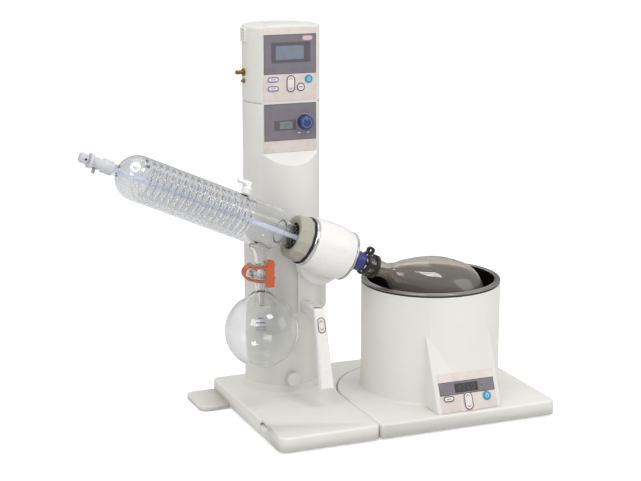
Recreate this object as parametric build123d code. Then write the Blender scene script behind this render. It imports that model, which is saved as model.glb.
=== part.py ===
from build123d import *
import math
import os

# Rotary evaporator with a motor lift, a tilted head and a round water bath.
# Millimetres. Origin: bench plane, on the axis of the column.
# +X runs from the column to the bath, +Y to the back, +Z up.

os.makedirs("parts", exist_ok=True)

# Clearances
running_gap = 0.05
loose_gap = 0.3
lift_gap = 1.0
seam_gap = 1.5

# Base plates
foot_height = 4.0
foot_radius = 14.0
base_top = 30.0
base_left = -113.0
base_back = 80.0
base_corner = 14.0
base_edge = 4.0
dock_left = 76.0
dock_corner = 160.0
runner_length = 34.0
runner_width = 20.0
runner_height = 8.0
runner_bottom = 11.0
runner_places = (-232.0, -162.0)

# Bath, and the base plate that is sized round it
bath_inset = 48.0
bath_y = -110.0
bath_radius = 128.5
bath_wall = 3.0
bath_top = 230.5
gasket_height = 2.5
rim_height = 4.0
rim_width = 10.5
pot_wall = 1.5
pot_floor = 97.0
heater_radius = 95.0
heater_bore = 30.0
heater_height = 7.0
wedge_reach = 38.5
wedge_half_width = 64.0
wedge_slope = 67.5
margin_front = 9.0
margin_right = 43.0
margin_back = 23.5
bath_x = dock_left + bath_inset + bath_radius
pot_radius = bath_radius - rim_width
bath_rim_bottom = bath_top + gasket_height
bath_rim_top = bath_rim_bottom + rim_height
wedge_front = bath_y - bath_radius - wedge_reach
base_front = wedge_front - margin_front
base_right = bath_x + bath_radius + margin_right
dock_back = bath_y + bath_radius + margin_back

# Stabiliser plate at the back left
stabiliser_reach = 55.0
stabiliser_front = -22.0
stabiliser_back = 76.0
stabiliser_height = 9.0
stabiliser_corner = 16.0

# Levelling wheel in the left side of the base
wheel_radius = 22.0
wheel_thickness = 15.0
wheel_y = -200.0
wheel_inset = 18.0
wheel_bottom = 7.0
wheel_stud_radius = 5.0
wheel_grooves = 30
wheel_skin = 5.0

# Column
column_radius = 69.5
column_wall = 3.5
column_foot_top = 48.0
column_foot_flare = 1.5
column_top = 566.0
flat_y = -45.5
flat_bottom = 477.0
flat_slope = 41.0
slot_width = 17.0

# Vacuum controller on top of the column
seam_bevel = 0.6
controller_height = 136.0
controller_top = column_top + controller_height
controller_edge = 4.0
panel_thickness = 1.0
panel_half_width = 51.0

# Lift
lift_travel = 135.0
saddle_bottom = 185.0
saddle_top = 322.0
saddle_radius = 82.0
saddle_front = -75.0
saddle_left = 3.0
saddle_end_angle = 14.0
tongue_bottom = 226.0
tongue_height = 56.0
tongue_half_width = 7.5
screw_x = 18.0
screw_radius = 7.0
guide_radius = 6.0
guide_y = 34.0
lift_motor_radius = 28.0
lift_motor_height = 58.0

# Head axis, tilted down towards the bath
tilt_deg = 24.0
axis_x = -3.0
axis_y = -127.0
axis_height = 331.1

# Hub that the head tilts on
hub_x = 40.0
hub_z = 284.5
hub_radius = 46.0
hub_front = -100.0
boss_radius = 34.0
tilt_pin_radius = 9.0

# Head housing, along the head axis
flange_start = -2.0
flange_radius = 44.0
barrel_start = 4.0
barrel_end = 83.0
barrel_radius = 48.6
barrel_front_radius = 46.5
barrel_back_radius = 43.5
end_ring_radius = 45.0
end_ring_width = 4.0
barrel_wall = 4.0
web = 10.0

# Rotor
shaft_radius = 15.5
shaft_bore = 12.6
shaft_start = -12.0
shaft_end = 104.0
bearing_radius = 24.0
bearing_width = 9.0
vapour_tube_radius = 12.3
vapour_tube_wall = 2.0
bushing_start = 88.0
bushing_end = 119.5
bushing_radius = 17.6
gear_teeth = 34
pinion_teeth = 14
gear_start = 36.0
gear_width = 9.0
pinion_up = -26.0
pinion_back = 15.0
drive_motor_radius = 10.0

# Ring nut that holds the condenser
nut_start = -31.0
nut_end = -6.0
nut_sides = 12
nut_radius = 41.8
nut_front_radius = 38.8
nut_mouth_radius = 31.0
nut_lip_radius = 25.0
nut_lip_depth = 2.5
gasket_radius = 43.0
spigot_radius = 37.0
spigot_start = -16.0
flange_height = 6.0
seal_height = 3.6

# Glass
glass_wall = 2.2
joint_glass_radius = 14.8
evaporating_radius = 65.5
evaporating_centre = 313.0
evaporating_neck_end = 173.0
joint_start = 124.0
flask_curve = ((29.5, 116.0), (45.0, 87.0), (57.5, 56.0), (63.6, 28.0))
clip_start = 121.5
clip_end = 147.5
clip_radius = 21.5
clip_ring_width = 6.5
clip_eye_radius = 7.0
clip_eye_hole = 3.1
clip_eye_up = 25.0
condenser_radius = 39.0
condenser_wall = 2.5
condenser_dome = -332.0
condenser_start = -392.0
neck_radius = 9.5
condenser_shoulder = -72.0
condenser_neck_radius = 21.5
condenser_neck_start = -52.0
condenser_flange_radius = 32.5
coil_radius = 33.0
coil_tube_radius = 3.2
coil_start = -328.0
coil_pitch = 12.0
coil_turns = 17

# Receiver, hung from the condenser by a ball joint
drop_x = -87.5
drop_tube_radius = 11.2
ball_radius = 17.5
ball_z = 282.5
cup_wall = 2.6
receiver_radius = 65.5
receiver_z = 176.0
flare_top = 252.0
flare_radius = 33.0

# Clamp on the ball joint
clamp_plate = 3.2
clamp_high = 294.0
clamp_low = 270.4
clamp_radius = 25.0
strap_width = 16.0
strap_x = -21.0
shield_left = -1.0
shield_right = 15.5
shield_bottom = 260.0
ear_top = 308.0

# Feed adapter at the upper end of the condenser
adapter_start = condenser_start - 31.0
adapter_end = condenser_start + 12.0
adapter_radius = 9.5
adapter_collar = 13.3
adapter_nipple = condenser_start - 17.0
adapter_nipple_radius = 3.0
adapter_nipple_length = 8.0
stem_radius = 4.2
feed_tube_radius = 4.2
feed_tube_start = condenser_start + 2.0
feed_tube_end = 20.0

# Lift handle
handle_left = 7.5
handle_width = 22.0
handle_depth = 16.0
handle_top_y = -131.0
handle_bottom_y = -176.0
handle_top = 207.0
handle_bottom = 78.5
handle_taper = 1.18

# Displays, and the speed knob on the lower panel
display_height = 0.8
controller_display = (-35.5, 38.5, column_top + 72.0, column_top + 108.0)
speed_display = (-30.5, 10.5, flat_bottom + 40.4, flat_bottom + 58.4)
speed_knob_x = 26.4
speed_knob_z = flat_bottom + 53.9
speed_knob_radius = 13.4
speed_knob_height = 15.0
speed_ring_radius = 15.5
bath_display_up = 42.5

# Keys
key_gap = 0.25
key_height = 1.6
key_pocket = 2.0

# Brass fittings on the left of the controller
vacuum_fitting_z = column_top + 53.0
fitting_radius = 4.0
vent_valve_z = column_top + 37.5
valve_radius = 2.4

# Lock knob low on the front of the column
lock_x = -8.0
lock_z = 61.0
lock_radius = 12.5
lock_stem_radius = 4.0

condenser_end = spigot_start - seal_height
cos_tilt = math.cos(math.radians(tilt_deg))
sin_tilt = math.sin(math.radians(tilt_deg))
head_axis = Plane(
    origin=(axis_x, axis_y, axis_height),
    x_dir=(sin_tilt, 0, cos_tilt),
    z_dir=(cos_tilt, 0, -sin_tilt),
)


def save(node, shape):
    export_step(shape, f"parts/{node}.step")


def turned(*outline):
    """Revolve a closed outline of (radius, height) points about Z."""
    points = [(radius, 0, height) for radius, height in outline]
    return revolve(make_face(Polyline(*points, close=True)), Axis.Z, 360)


def tube(outer, inner, bottom, top):
    """Round tube about Z between two heights."""
    return turned((inner, bottom), (outer, bottom), (outer, top), (inner, top))


def rod(radius, bottom, top, x=0.0, y=0.0):
    """Round bar about a line parallel to Z."""
    return Pos(x, y, bottom) * extrude(Circle(radius), top - bottom)


def block(x0, x1, y0, y1, z0, z1):
    """Box between two corners."""
    centre = Pos((x0 + x1) / 2, (y0 + y1) / 2, (z0 + z1) / 2)
    return centre * Box(x1 - x0, y1 - y0, z1 - z0)


def on_head(shape):
    """Put a shape that is drawn about Z onto the tilted head axis."""
    return head_axis.location * shape


def front_bar(radius, x, z, front, back):
    """Round bar along Y between two depths."""
    face = Plane(origin=(x, front, z), x_dir=(1, 0, 0), z_dir=(0, 1, 0))
    return extrude(face * Circle(radius), back - front)


# Base


def base_slab(outline):
    """Slab between the feet and the base top, with its upper edge rounded."""
    slab = Pos(0, 0, foot_height) * extrude(outline, base_top - foot_height)
    return fillet(slab.faces().sort_by(Axis.Z)[-1].edges(), base_edge)


def dock_outline(gap):
    """Outline of the bath base, grown by a gap at its left and back."""
    left = dock_left - gap
    back = dock_back + gap
    corner = dock_corner + gap
    square = make_face(
        Polyline(
            (left, base_front),
            (base_right, base_front),
            (base_right, back),
            (left, back),
            close=True,
        )
    )
    return fillet(square.vertices().group_by(Axis.X)[0].sort_by(Axis.Y)[-1], corner)


def rectangle(x0, x1, y0, y1):
    """Flat rectangle between two corners."""
    return Pos((x0 + x1) / 2, (y0 + y1) / 2) * Rectangle(x1 - x0, y1 - y0)


def runners(grow, reach):
    """Docking runners of the bath base, grown for their slots."""
    bars = [
        block(
            dock_left - runner_length - grow, dock_left + reach,
            y - runner_width / 2 - grow, y + runner_width / 2 + grow,
            runner_bottom - grow, runner_bottom + runner_height + grow,
        )
        for y in runner_places
    ]
    return bars[0] + bars[1]


def main_base():
    outline = rectangle(base_left, base_right, base_front, base_back)
    outline -= dock_outline(seam_gap)
    ends = outline.vertices().filter_by(
        lambda v: v.X < base_left + 1 or (v.X < dock_left and v.Y < base_front + 1)
    )
    slab = base_slab(fillet(ends, base_corner))
    wheel_x = base_left + wheel_inset
    pocket = rod(
        wheel_radius + 2.5, 0, base_top - wheel_skin, wheel_x, wheel_y
    )
    top_notch = block(
        base_left - 1, base_left + 6, wheel_y - wheel_radius,
        wheel_y + wheel_radius, base_top - wheel_skin - 1, base_top + 1,
    )
    stud_bore = rod(
        wheel_stud_radius + running_gap, 0, base_top - 2, wheel_x, wheel_y
    )
    return slab - pocket - top_notch - stud_bore - runners(loose_gap, 0)


def bath_base():
    outline = dock_outline(0)
    corners = outline.vertices().filter_by(lambda v: v.X > base_right - 1)
    return base_slab(fillet(corners, base_corner)) + runners(0, 1)


def rubber_foot(x, y):
    """Round foot with a chamfered lower edge."""
    return Pos(x, y) * turned(
        (0, 0), (foot_radius - 1.5, 0), (foot_radius, 1.5),
        (foot_radius, foot_height), (0, foot_height),
    )


def main_feet():
    margin = 24.0
    spots = [
        (0, 0),
        (base_left + margin, base_back - margin),
        (base_right - margin, base_back - foot_radius - 3),
        (dock_left - margin, base_front + margin),
        (base_left + margin, base_front + margin),
    ]
    return Compound([rubber_foot(x, y) for x, y in spots])


def bath_feet():
    margin = 24.0
    spots = [
        (dock_left + margin, base_front + margin),
        (base_right - margin, base_front + margin),
        (base_right - margin, dock_back - margin),
        (dock_left + dock_corner, dock_back - margin),
    ]
    return Compound([rubber_foot(x, y) for x, y in spots])


def stabiliser_foot():
    plate = block(
        base_left - stabiliser_reach, base_left,
        stabiliser_front, stabiliser_back, 0, stabiliser_height,
    )
    outer = plate.edges().filter_by(Axis.Z).group_by(Axis.X)[0]
    plate = fillet(outer, stabiliser_corner)
    return fillet(plate.faces().sort_by(Axis.Z)[-1].edges().group_by(Axis.X)[0], 2)


def level_wheel():
    """Grooved wheel on a threaded stud that ends in a foot pad."""
    x = base_left + wheel_inset
    top = wheel_bottom + wheel_thickness
    wheel = rod(wheel_radius, wheel_bottom, top)
    wheel = chamfer(wheel.edges(), 1)
    groove = rod(1.1, 0, base_top, wheel_radius + 0.3)
    wheel -= PolarLocations(0, wheel_grooves) * groove
    wheel += rod(wheel_stud_radius, 4, base_top - 2 - loose_gap)
    wheel += rod(foot_radius, 0, 4)
    return Pos(x, wheel_y) * wheel


# Column


def front_cut(depth):
    """Space in front of the flat face, ending in a slope below."""
    reach = 40.0
    drop = reach * math.tan(math.radians(flat_slope))
    y = flat_y + depth
    bottom = flat_bottom + depth * math.tan(math.radians(flat_slope) / 2)
    side = make_face(
        Plane.YZ * Polyline(
            (y, bottom), (y - reach, bottom - drop), (y - reach, controller_top + 10),
            (y, controller_top + 10), close=True,
        )
    )
    return extrude(side, column_radius + 10, both=True)


def lift_slot(radius_to):
    """Slot in the right side for the tongue of the lift nut."""
    return block(
        0, radius_to, -slot_width / 2, slot_width / 2,
        tongue_bottom - 4, tongue_bottom + tongue_height + lift_travel + 4,
    )


def column_foot():
    """Ring at the bottom of the column, flared where it meets the base."""
    outer = column_radius + column_foot_flare
    ring = turned(
        (column_radius - 20, base_top),
        (outer + 5, base_top),
        (outer + 1.5, base_top + 1.5),
        (outer, base_top + 5),
        (outer, column_foot_top - 0.8),
        (outer - 0.8, column_foot_top),
        (column_radius - 20, column_foot_top),
    )
    floor = rod(column_radius - 20, base_top, base_top + 6)
    return ring + floor


def column_shell():
    body = rod(column_radius, column_foot_top, column_top) - front_cut(0)
    body = chamfer(body.faces().sort_by(Axis.Z)[-1].edges(), seam_bevel)
    hollow = rod(
        column_radius - column_wall, column_foot_top - 1, column_top - column_wall
    ) - front_cut(column_wall)
    body = body - hollow - lift_slot(column_radius + 5)
    return body - front_bar(lock_stem_radius + running_gap, lock_x, lock_z, -80, -50)


def vacuum_controller():
    """Housing with the same section as the column, its top edge rounded."""
    body = rod(column_radius, column_top, controller_top) - front_cut(0)
    body = fillet(body.faces().sort_by(Axis.Z)[-1].edges(), controller_edge)
    body = chamfer(body.faces().sort_by(Axis.Z)[0].edges(), seam_bevel)
    hollow = rod(
        column_radius - column_wall, column_top + column_wall, controller_top - column_wall
    ) - front_cut(column_wall)
    body -= hollow
    for key in controller_keys:
        body -= key_slug(key, key_gap, flat_y - 1, flat_y + key_pocket)
    for z, radius in ((vacuum_fitting_z, fitting_radius), (vent_valve_z, valve_radius)):
        face = Plane(origin=(-column_radius - 5, 0, z), z_dir=(1, 0, 0))
        body -= extrude(face * Circle(radius), column_wall + 10)
    return body + vent_grille()


def panel_plate(z0, z1, keys):
    """Front plate with a clearance hole behind each key."""
    plate = block(
        -panel_half_width, panel_half_width, flat_y - panel_thickness, flat_y, z0, z1
    )
    plate = fillet(plate.edges().filter_by(Axis.Y), 2)
    for key in keys:
        plate -= key_slug(key, key_gap, flat_y - 5, flat_y + 1)
    return plate


def key_slug(key, grow, front, back):
    """Straight prism with a key's outline, from one depth to another."""
    x, z, width, height = key
    face = Plane(origin=(x, front, z), x_dir=(1, 0, 0), z_dir=(0, 1, 0))
    width += 2 * grow
    height += 2 * grow
    if abs(width - height) < 0.01:
        outline = Circle(width / 2)
    elif width > height:
        outline = SlotOverall(width, height)
    else:
        outline = SlotOverall(height, width, rotation=90)
    return extrude(face * outline, back - front)


def key_cap(key):
    """Key that stands proud of its plate and stops short of the wall behind."""
    front = flat_y - panel_thickness - key_height
    cap = key_slug(key, 0, front, flat_y - loose_gap)
    return fillet(cap.faces().sort_by(Axis.Y)[0].edges(), 0.7)


start_key = (-32.5, column_top + 43.0, 21.0, 9.0)
mode_key = (-32.5, column_top + 27.0, 21.0, 9.0)
vacuum_rocker = (1.0, column_top + 34.5, 16.0, 30.0)
vent_key = (20.0, column_top + 28.0, 15.0, 15.0)
vacuum_power_key = (35.5, column_top + 41.5, 14.5, 14.5)
controller_keys = [start_key, mode_key, vacuum_rocker, vent_key, vacuum_power_key]


def window(x0, x1, z0, z1):
    """Display window lying on a front plate, its corners rounded."""
    front = flat_y - panel_thickness - display_height
    pane = block(x0, x1, front, flat_y - panel_thickness, z0, z1)
    return fillet(pane.edges().filter_by(Axis.Y), 1.5)




def speed_knob():
    """Knob with a grip of shallow flutes, turned about Y."""
    front = flat_y - panel_thickness - speed_knob_height
    back = flat_y - panel_thickness - 1.2
    grip = front_bar(speed_knob_radius, 0, 0, front, back)
    grip = fillet(grip.faces().sort_by(Axis.Y)[0].edges(), 1.5)
    flute = front_bar(1.5, speed_knob_radius + 0.7, 0, front - 1, back - 3)
    for turn in range(24):
        grip -= Rot(0, 15 * turn, 0) * flute
    grip += front_bar(3, 0, 0, back, flat_y - loose_gap)
    return Pos(speed_knob_x, 0, speed_knob_z) * grip


def speed_ring():
    """Scale ring that the speed knob turns in front of."""
    front = flat_y - panel_thickness - 0.9
    return front_bar(speed_ring_radius, speed_knob_x, speed_knob_z, front, flat_y)


def speed_panel():
    """Lower front plate with the scale ring of the speed knob."""
    plate = panel_plate(flat_bottom + 1, column_top - 2, []) + speed_ring()
    return plate - front_bar(3.3, speed_knob_x, speed_knob_z, flat_y - 3, flat_y + 1)


def lock_knob():
    """Knurled knob low on the front of the column."""
    front = -column_radius - 12
    back = -column_radius - 1
    grip = front_bar(lock_radius, 0, 0, front, back)
    grip = fillet(grip.faces().sort_by(Axis.Y)[0].edges(), 1.5)
    flute = front_bar(0.9, lock_radius + 0.3, 0, front - 1, back + 1)
    for turn in range(24):
        grip -= Rot(0, 15 * turn, 0) * flute
    grip += front_bar(lock_stem_radius, 0, 0, back, -column_radius + column_wall + 6)
    return Pos(lock_x, 0, lock_z) * grip


def left_fitting(z, collar, height, radius, length):
    """Fitting that stands out of the left side, its shank through the wall."""
    face = Plane(origin=(-column_radius, 0, z), z_dir=(-1, 0, 0))
    body = extrude(face * collar, height)
    body += extrude(face.offset(height) * Circle(radius), length)
    shank = Circle(radius - running_gap)
    return body + extrude(face.offset(-column_wall) * shank, column_wall)


def brass_fittings():
    """Vacuum hose nipple on a hexagon, with a small vent valve below it."""
    nipple = left_fitting(vacuum_fitting_z, RegularPolygon(7, 6), 4, fitting_radius, 12)
    valve = left_fitting(vent_valve_z, Circle(4.2), 2.5, valve_radius, 3.5)
    return Compound([nipple, valve])


def vent_grille():
    """Raised plate with slots high on the left of the controller."""
    left = -column_radius
    plate = block(left - 3, left + 1, -11, 11, controller_top - 29, controller_top - 4)
    plate -= rod(column_radius, column_top, controller_top)
    slot = block(-column_radius - 5, -column_radius - 1, -8, 8, 0, 2.4)
    for row in range(4):
        plate -= Pos(0, 0, controller_top - 25.5 + 5.2 * row) * slot
    return plate


# Lift inside the column


def saddle():
    """Saddle that hugs the right side of the column and carries the hub."""
    height = saddle_top - saddle_bottom
    outer = Pos(0, 0, saddle_bottom) * extrude(Circle(saddle_radius), height)
    keep = block(saddle_left, 100, saddle_front, 0, saddle_bottom, saddle_top)
    end = saddle_radius * math.sin(math.radians(saddle_end_angle))
    keep += block(saddle_left, 100, -1, end, saddle_bottom, saddle_top)
    body = outer & keep
    body += front_bar(boss_radius, hub_x, hub_z, saddle_front - 1, -40)
    body = body - rod(column_radius + lift_gap, saddle_bottom - 5, saddle_top + 5)
    body -= front_bar(tilt_pin_radius + running_gap, hub_x, hub_z, -90, 0)
    pocket = block(
        column_radius - 5, saddle_radius - 4,
        -tongue_half_width - 0.1, tongue_half_width + 0.1,
        tongue_bottom - 0.1, tongue_bottom + tongue_height + 0.1,
    )
    return body - pocket


def lift_nut():
    """Nut block on the lead screw, with its tongue out to the saddle."""
    middle = tongue_bottom + tongue_height / 2
    plate = block(
        screw_x - 15, screw_x + 15, -guide_y - 12, guide_y + 12, middle - 12, middle + 12
    )
    tongue = block(
        screw_x, saddle_radius - 4, -tongue_half_width, tongue_half_width,
        tongue_bottom, tongue_bottom + tongue_height,
    )
    body = plate + tongue
    body -= rod(screw_radius + running_gap, 200, 320, screw_x)
    for y in (-guide_y, guide_y):
        body -= rod(guide_radius + running_gap, 200, 320, screw_x, y)
    return body


screw_bottom = base_top + 6 + lift_motor_height + 6
screw_top = tongue_bottom + tongue_height + lift_travel + 12


def lead_screw():
    return rod(screw_radius, screw_bottom, screw_top - 3, screw_x)


def guide_rods():
    bottom = base_top + 6 + lift_motor_height
    rods = [
        rod(guide_radius, bottom, screw_top, screw_x, y) for y in (-guide_y, guide_y)
    ]
    return Compound(rods)


def lift_motor():
    """Geared motor that stands in the foot of the column."""
    bottom = base_top + 6
    top = bottom + lift_motor_height
    body = rod(lift_motor_radius, bottom, top - 8, screw_x)
    plate = block(screw_x - 20, screw_x + 20, -guide_y - 10, guide_y + 10, top - 8, top)
    body += plate
    return body + rod(screw_radius - 2, top, screw_bottom, screw_x)


def screw_block():
    """Upper bearing block of the lead screw and the guide rods."""
    block_top = screw_top + 10
    body = block(screw_x - 16, screw_x + 16, -61, 61, screw_top - 6, block_top)
    body &= rod(column_radius - column_wall, 0, controller_top)
    body -= rod(screw_radius + running_gap, 0, screw_top, screw_x)
    for y in (-guide_y, guide_y):
        body -= rod(guide_radius, 0, screw_top, screw_x, y)
    return body


def tilt_pin():
    """Pivot pin from the saddle into the hub."""
    y = -math.sqrt((column_radius + lift_gap) ** 2 - hub_x**2)
    return front_bar(tilt_pin_radius, hub_x, hub_z, -93, y - 8)


handle_x = handle_left + handle_width / 2
handle_end = handle_bottom - 28.5
handle_front_top = handle_top_y - handle_depth / 2
handle_front_end = handle_bottom_y - handle_depth * handle_taper / 2
handle_lean = math.atan2(handle_front_top - handle_front_end, handle_top - handle_end)
switch_drop = 28.0
switch_width = 15.0
switch_length = 29.0


def switch_plane():
    """Plane on the front of the grip, its y axis up along the grip."""
    y = handle_front_top - switch_drop * math.tan(handle_lean)
    return Plane(
        origin=(handle_x, y, handle_top - switch_drop),
        x_dir=(1, 0, 0),
        z_dir=(0, -math.cos(handle_lean), math.sin(handle_lean)),
    )


def switch_slug(grow, low, high):
    """Prism with the lift switch's outline, standing on the grip."""
    outline = SlotOverall(switch_length + 2 * grow, switch_width + 2 * grow, rotation=90)
    return extrude(switch_plane().offset(low) * outline, high - low)


def lift_handle():
    """Arm out of the saddle and a leaning grip with a slanted end."""
    x1 = handle_left + handle_width
    arm = block(
        handle_left, x1, handle_top_y, saddle_front, handle_top - 22, handle_top
    )
    top = Plane(origin=(handle_x, handle_top_y, handle_top)) * (
        RectangleRounded(handle_width, handle_depth, 4)
    )
    end = Plane(origin=(handle_x, handle_bottom_y, handle_end)) * (
        RectangleRounded(handle_width * handle_taper, handle_depth * handle_taper, 6)
    )
    cut = Plane(
        origin=(0, handle_bottom_y - 12, handle_bottom),
        x_dir=(1, 0, 0),
        z_dir=(0, -0.64, -0.77),
    )
    grip = split(loft([top, end]), cut, keep=Keep.BOTTOM)
    return grip + arm - switch_slug(key_gap, -key_pocket - 0.5, 2)


def lift_switch():
    """Rocker on the grip that sends the head up or down."""
    cap = switch_slug(0, -0.6, key_height - 0.2)
    outward = switch_plane().z_dir
    face = cap.faces().sort_by(lambda f: f.center().dot(outward))[-1]
    return fillet(face.edges(), 0.7)


# Head


def head_housing():
    """Barrel about the head axis, joined to the hub it tilts on."""
    middle = (barrel_start + barrel_end) / 2
    curve = Spline(
        (barrel_front_radius, 0, barrel_start),
        (barrel_radius, 0, middle - 4),
        (barrel_radius - 0.8, 0, middle + 16),
        (barrel_back_radius, 0, barrel_end),
    )
    lines = Polyline(
        (barrel_back_radius, 0, barrel_end), (0, 0, barrel_end), (0, 0, barrel_start),
        (barrel_front_radius, 0, barrel_start),
    )
    barrel = on_head(revolve(make_face(curve + lines), Axis.Z, 360))
    hub = front_bar(hub_radius, hub_x, hub_z, hub_front, saddle_front - 1 - loose_gap)
    hub = fillet(hub.faces().sort_by(Axis.Y)[0].edges(), 9)
    hub -= on_head(rod(nut_radius + 1, nut_start, barrel_start))
    hub -= on_head(rod(end_ring_radius + loose_gap, barrel_end, barrel_end + 10))
    bore = front_bar(tilt_pin_radius + running_gap, hub_x, hub_z, -94, -60)
    web_start = barrel_end - web - 1
    cavity = on_head(
        rod(barrel_back_radius - barrel_wall + 1, barrel_start - 1, web_start)
    )
    cavity += on_head(rod(bearing_radius + running_gap, barrel_start - 1, barrel_end - 1))
    cavity += on_head(rod(bushing_radius + 1.5, barrel_start, barrel_end + 1))
    return barrel + hub - bore - cavity


def front_flange():
    """Chrome flange that closes the barrel, with the thread for the ring nut."""
    inner = barrel_back_radius - barrel_wall + 1 - running_gap
    seat = bearing_radius + running_gap
    return on_head(
        turned(
            (shaft_radius + 0.6, spigot_start),
            (spigot_radius, spigot_start),
            (spigot_radius, flange_start),
            (flange_radius - 1.5, flange_start),
            (flange_radius, flange_start + 1.5),
            (flange_radius, barrel_start - 0.5),
            (inner, barrel_start - 0.5),
            (inner, barrel_start + web),
            (seat, barrel_start + web),
            (seat, barrel_start + 1),
            (shaft_radius + 0.6, barrel_start + 1),
        )
    )


def end_ring():
    """Trim ring round the lower end of the barrel."""
    return on_head(
        turned(
            (barrel_back_radius - 9, barrel_end),
            (end_ring_radius - 0.8, barrel_end),
            (end_ring_radius, barrel_end + 0.8),
            (end_ring_radius, barrel_end + 2.5),
            (end_ring_radius - 1.5, barrel_end + end_ring_width),
            (barrel_back_radius - 9, barrel_end + end_ring_width),
        )
    )


def bearing(start):
    """Ball bearing shown as its closed ring."""
    ring = tube(bearing_radius, shaft_radius + running_gap, start, start + bearing_width)
    return on_head(chamfer(ring.edges(), 0.6))


def bearings():
    """The two bearings of the hollow shaft."""
    front = bearing(barrel_start + 1 + 0.1)
    back = bearing(barrel_end - 1 - bearing_width - 0.1)
    return Compound([front, back])


def gear_outline(teeth, module):
    """Outline of a spur gear with straight-sided teeth."""
    pitch = module * teeth / 2
    step = 2 * math.pi / teeth
    corners = []
    for tooth in range(teeth):
        for radius, share in (
            (pitch - 1.2 * module, -0.37), (pitch + 0.9 * module, -0.11),
            (pitch + 0.9 * module, 0.11), (pitch - 1.2 * module, 0.37),
        ):
            angle = step * (tooth + share)
            corners.append((radius * math.cos(angle), radius * math.sin(angle)))
    return make_face(Polyline(*corners, close=True))


gear_distance = math.hypot(pinion_up, pinion_back)
gear_module = 2 * gear_distance / (gear_teeth + pinion_teeth)
pinion_bearing = math.degrees(math.atan2(-pinion_back, pinion_up))


def drive_gear():
    """Gear on the hollow shaft, turned so that a gap faces the pinion."""
    turn = pinion_bearing + 180 / gear_teeth
    outline = Rot(0, 0, turn) * gear_outline(gear_teeth, gear_module)
    blank = extrude(outline, gear_width) - rod(shaft_radius, -1, gear_width + 1)
    return on_head(Pos(0, 0, gear_start) * blank)


def drive_pinion():
    """Pinion with its shaft, turned so that a tooth faces the gear."""
    outline = Rot(0, 0, pinion_bearing + 180) * gear_outline(pinion_teeth, gear_module)
    pinion = Pos(0, 0, gear_start - 0.5) * extrude(outline, gear_width + 1)
    pinion += rod(3, gear_start - 0.5, gear_start + gear_width + 8)
    return on_head(Pos(pinion_up, -pinion_back) * pinion)


def drive_motor():
    start = gear_start + gear_width + 2.5
    end = barrel_end - web - 1
    body = rod(drive_motor_radius, start, end)
    body = chamfer(body.edges(), 0.8)
    body -= rod(3 + running_gap, start - 1, gear_start + gear_width + 8.5)
    return on_head(Pos(pinion_up, -pinion_back) * body)


def hollow_shaft():
    return on_head(tube(shaft_radius, shaft_bore, shaft_start, shaft_end))


def vapour_tube():
    """Glass tube through the shaft, with a ground cone at its lower end."""
    outer = vapour_tube_radius
    inner = vapour_tube_radius - vapour_tube_wall
    return on_head(
        turned(
            (inner, spigot_start + 1), (outer, spigot_start + 1), (outer, 122),
            (outer - 0.8, 150), (inner - 0.8, 150), (inner, 122),
        )
    )


def push_bushing():
    """Coloured bushing that screws onto the end of the shaft."""
    return on_head(
        turned(
            (shaft_radius, bushing_start),
            (bushing_radius, bushing_start),
            (bushing_radius, bushing_end - 4),
            (bushing_radius - 1, bushing_end),
            (shaft_bore + 0.1, bushing_end),
            (shaft_bore + 0.1, shaft_end),
            (shaft_radius, shaft_end),
        )
    )


def joint_clip():
    """Clip of two rings and four ribs that holds the flask on its joint."""
    front_end = clip_start + clip_ring_width
    front = tube(clip_radius, joint_glass_radius + 3.2, clip_start, front_end)
    back = tube(
        clip_radius - 1, joint_glass_radius + loose_gap, clip_end - clip_ring_width, clip_end
    )
    clip = front + back
    rib = block(
        joint_glass_radius + 3.6, clip_radius - 0.5, -5, 5, clip_start + 2, clip_end - 2
    )
    clip += PolarLocations(0, 4) * rib
    eye_along = clip_start + clip_eye_hole + 2
    lug = block(clip_radius - 3, clip_eye_up, -4, 4, clip_start, front_end + 2)
    side = Plane(origin=(clip_eye_up, 0, eye_along), x_dir=(1, 0, 0), z_dir=(0, 1, 0))
    clip += lug + extrude(side * Circle(clip_eye_radius), 4, both=True)
    return on_head(clip - extrude(side * Circle(clip_eye_hole), 6, both=True))


def evaporating_solid(inset, start):
    """Filled pear flask, its surface moved in by an inset."""
    neck = joint_glass_radius - inset
    ball = evaporating_radius - inset
    centre = evaporating_centre
    tip = centre + ball
    neck_end = evaporating_neck_end + inset
    middle = [(radius - inset, 0, centre - back) for radius, back in flask_curve]
    curve = Spline(
        (neck, 0, neck_end), *middle, (ball, 0, centre), tangents=[(0.45, 0, 1), (0, 0, 1)]
    )
    half = math.sqrt(0.5)
    cap = ThreePointArc((ball, 0, centre), (ball * half, 0, centre + ball * half), (0, 0, tip))
    rest = Polyline((0, 0, tip), (0, 0, start), (neck, 0, start), (neck, 0, neck_end))
    return revolve(make_face(curve + cap + rest), Axis.Z, 360)


def evaporating_flask():
    outer = evaporating_solid(0, joint_start)
    outer += tube(joint_glass_radius + 2, joint_glass_radius - 1, joint_start, joint_start + 4)
    return on_head(outer - evaporating_solid(glass_wall, joint_start - 5))


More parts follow.
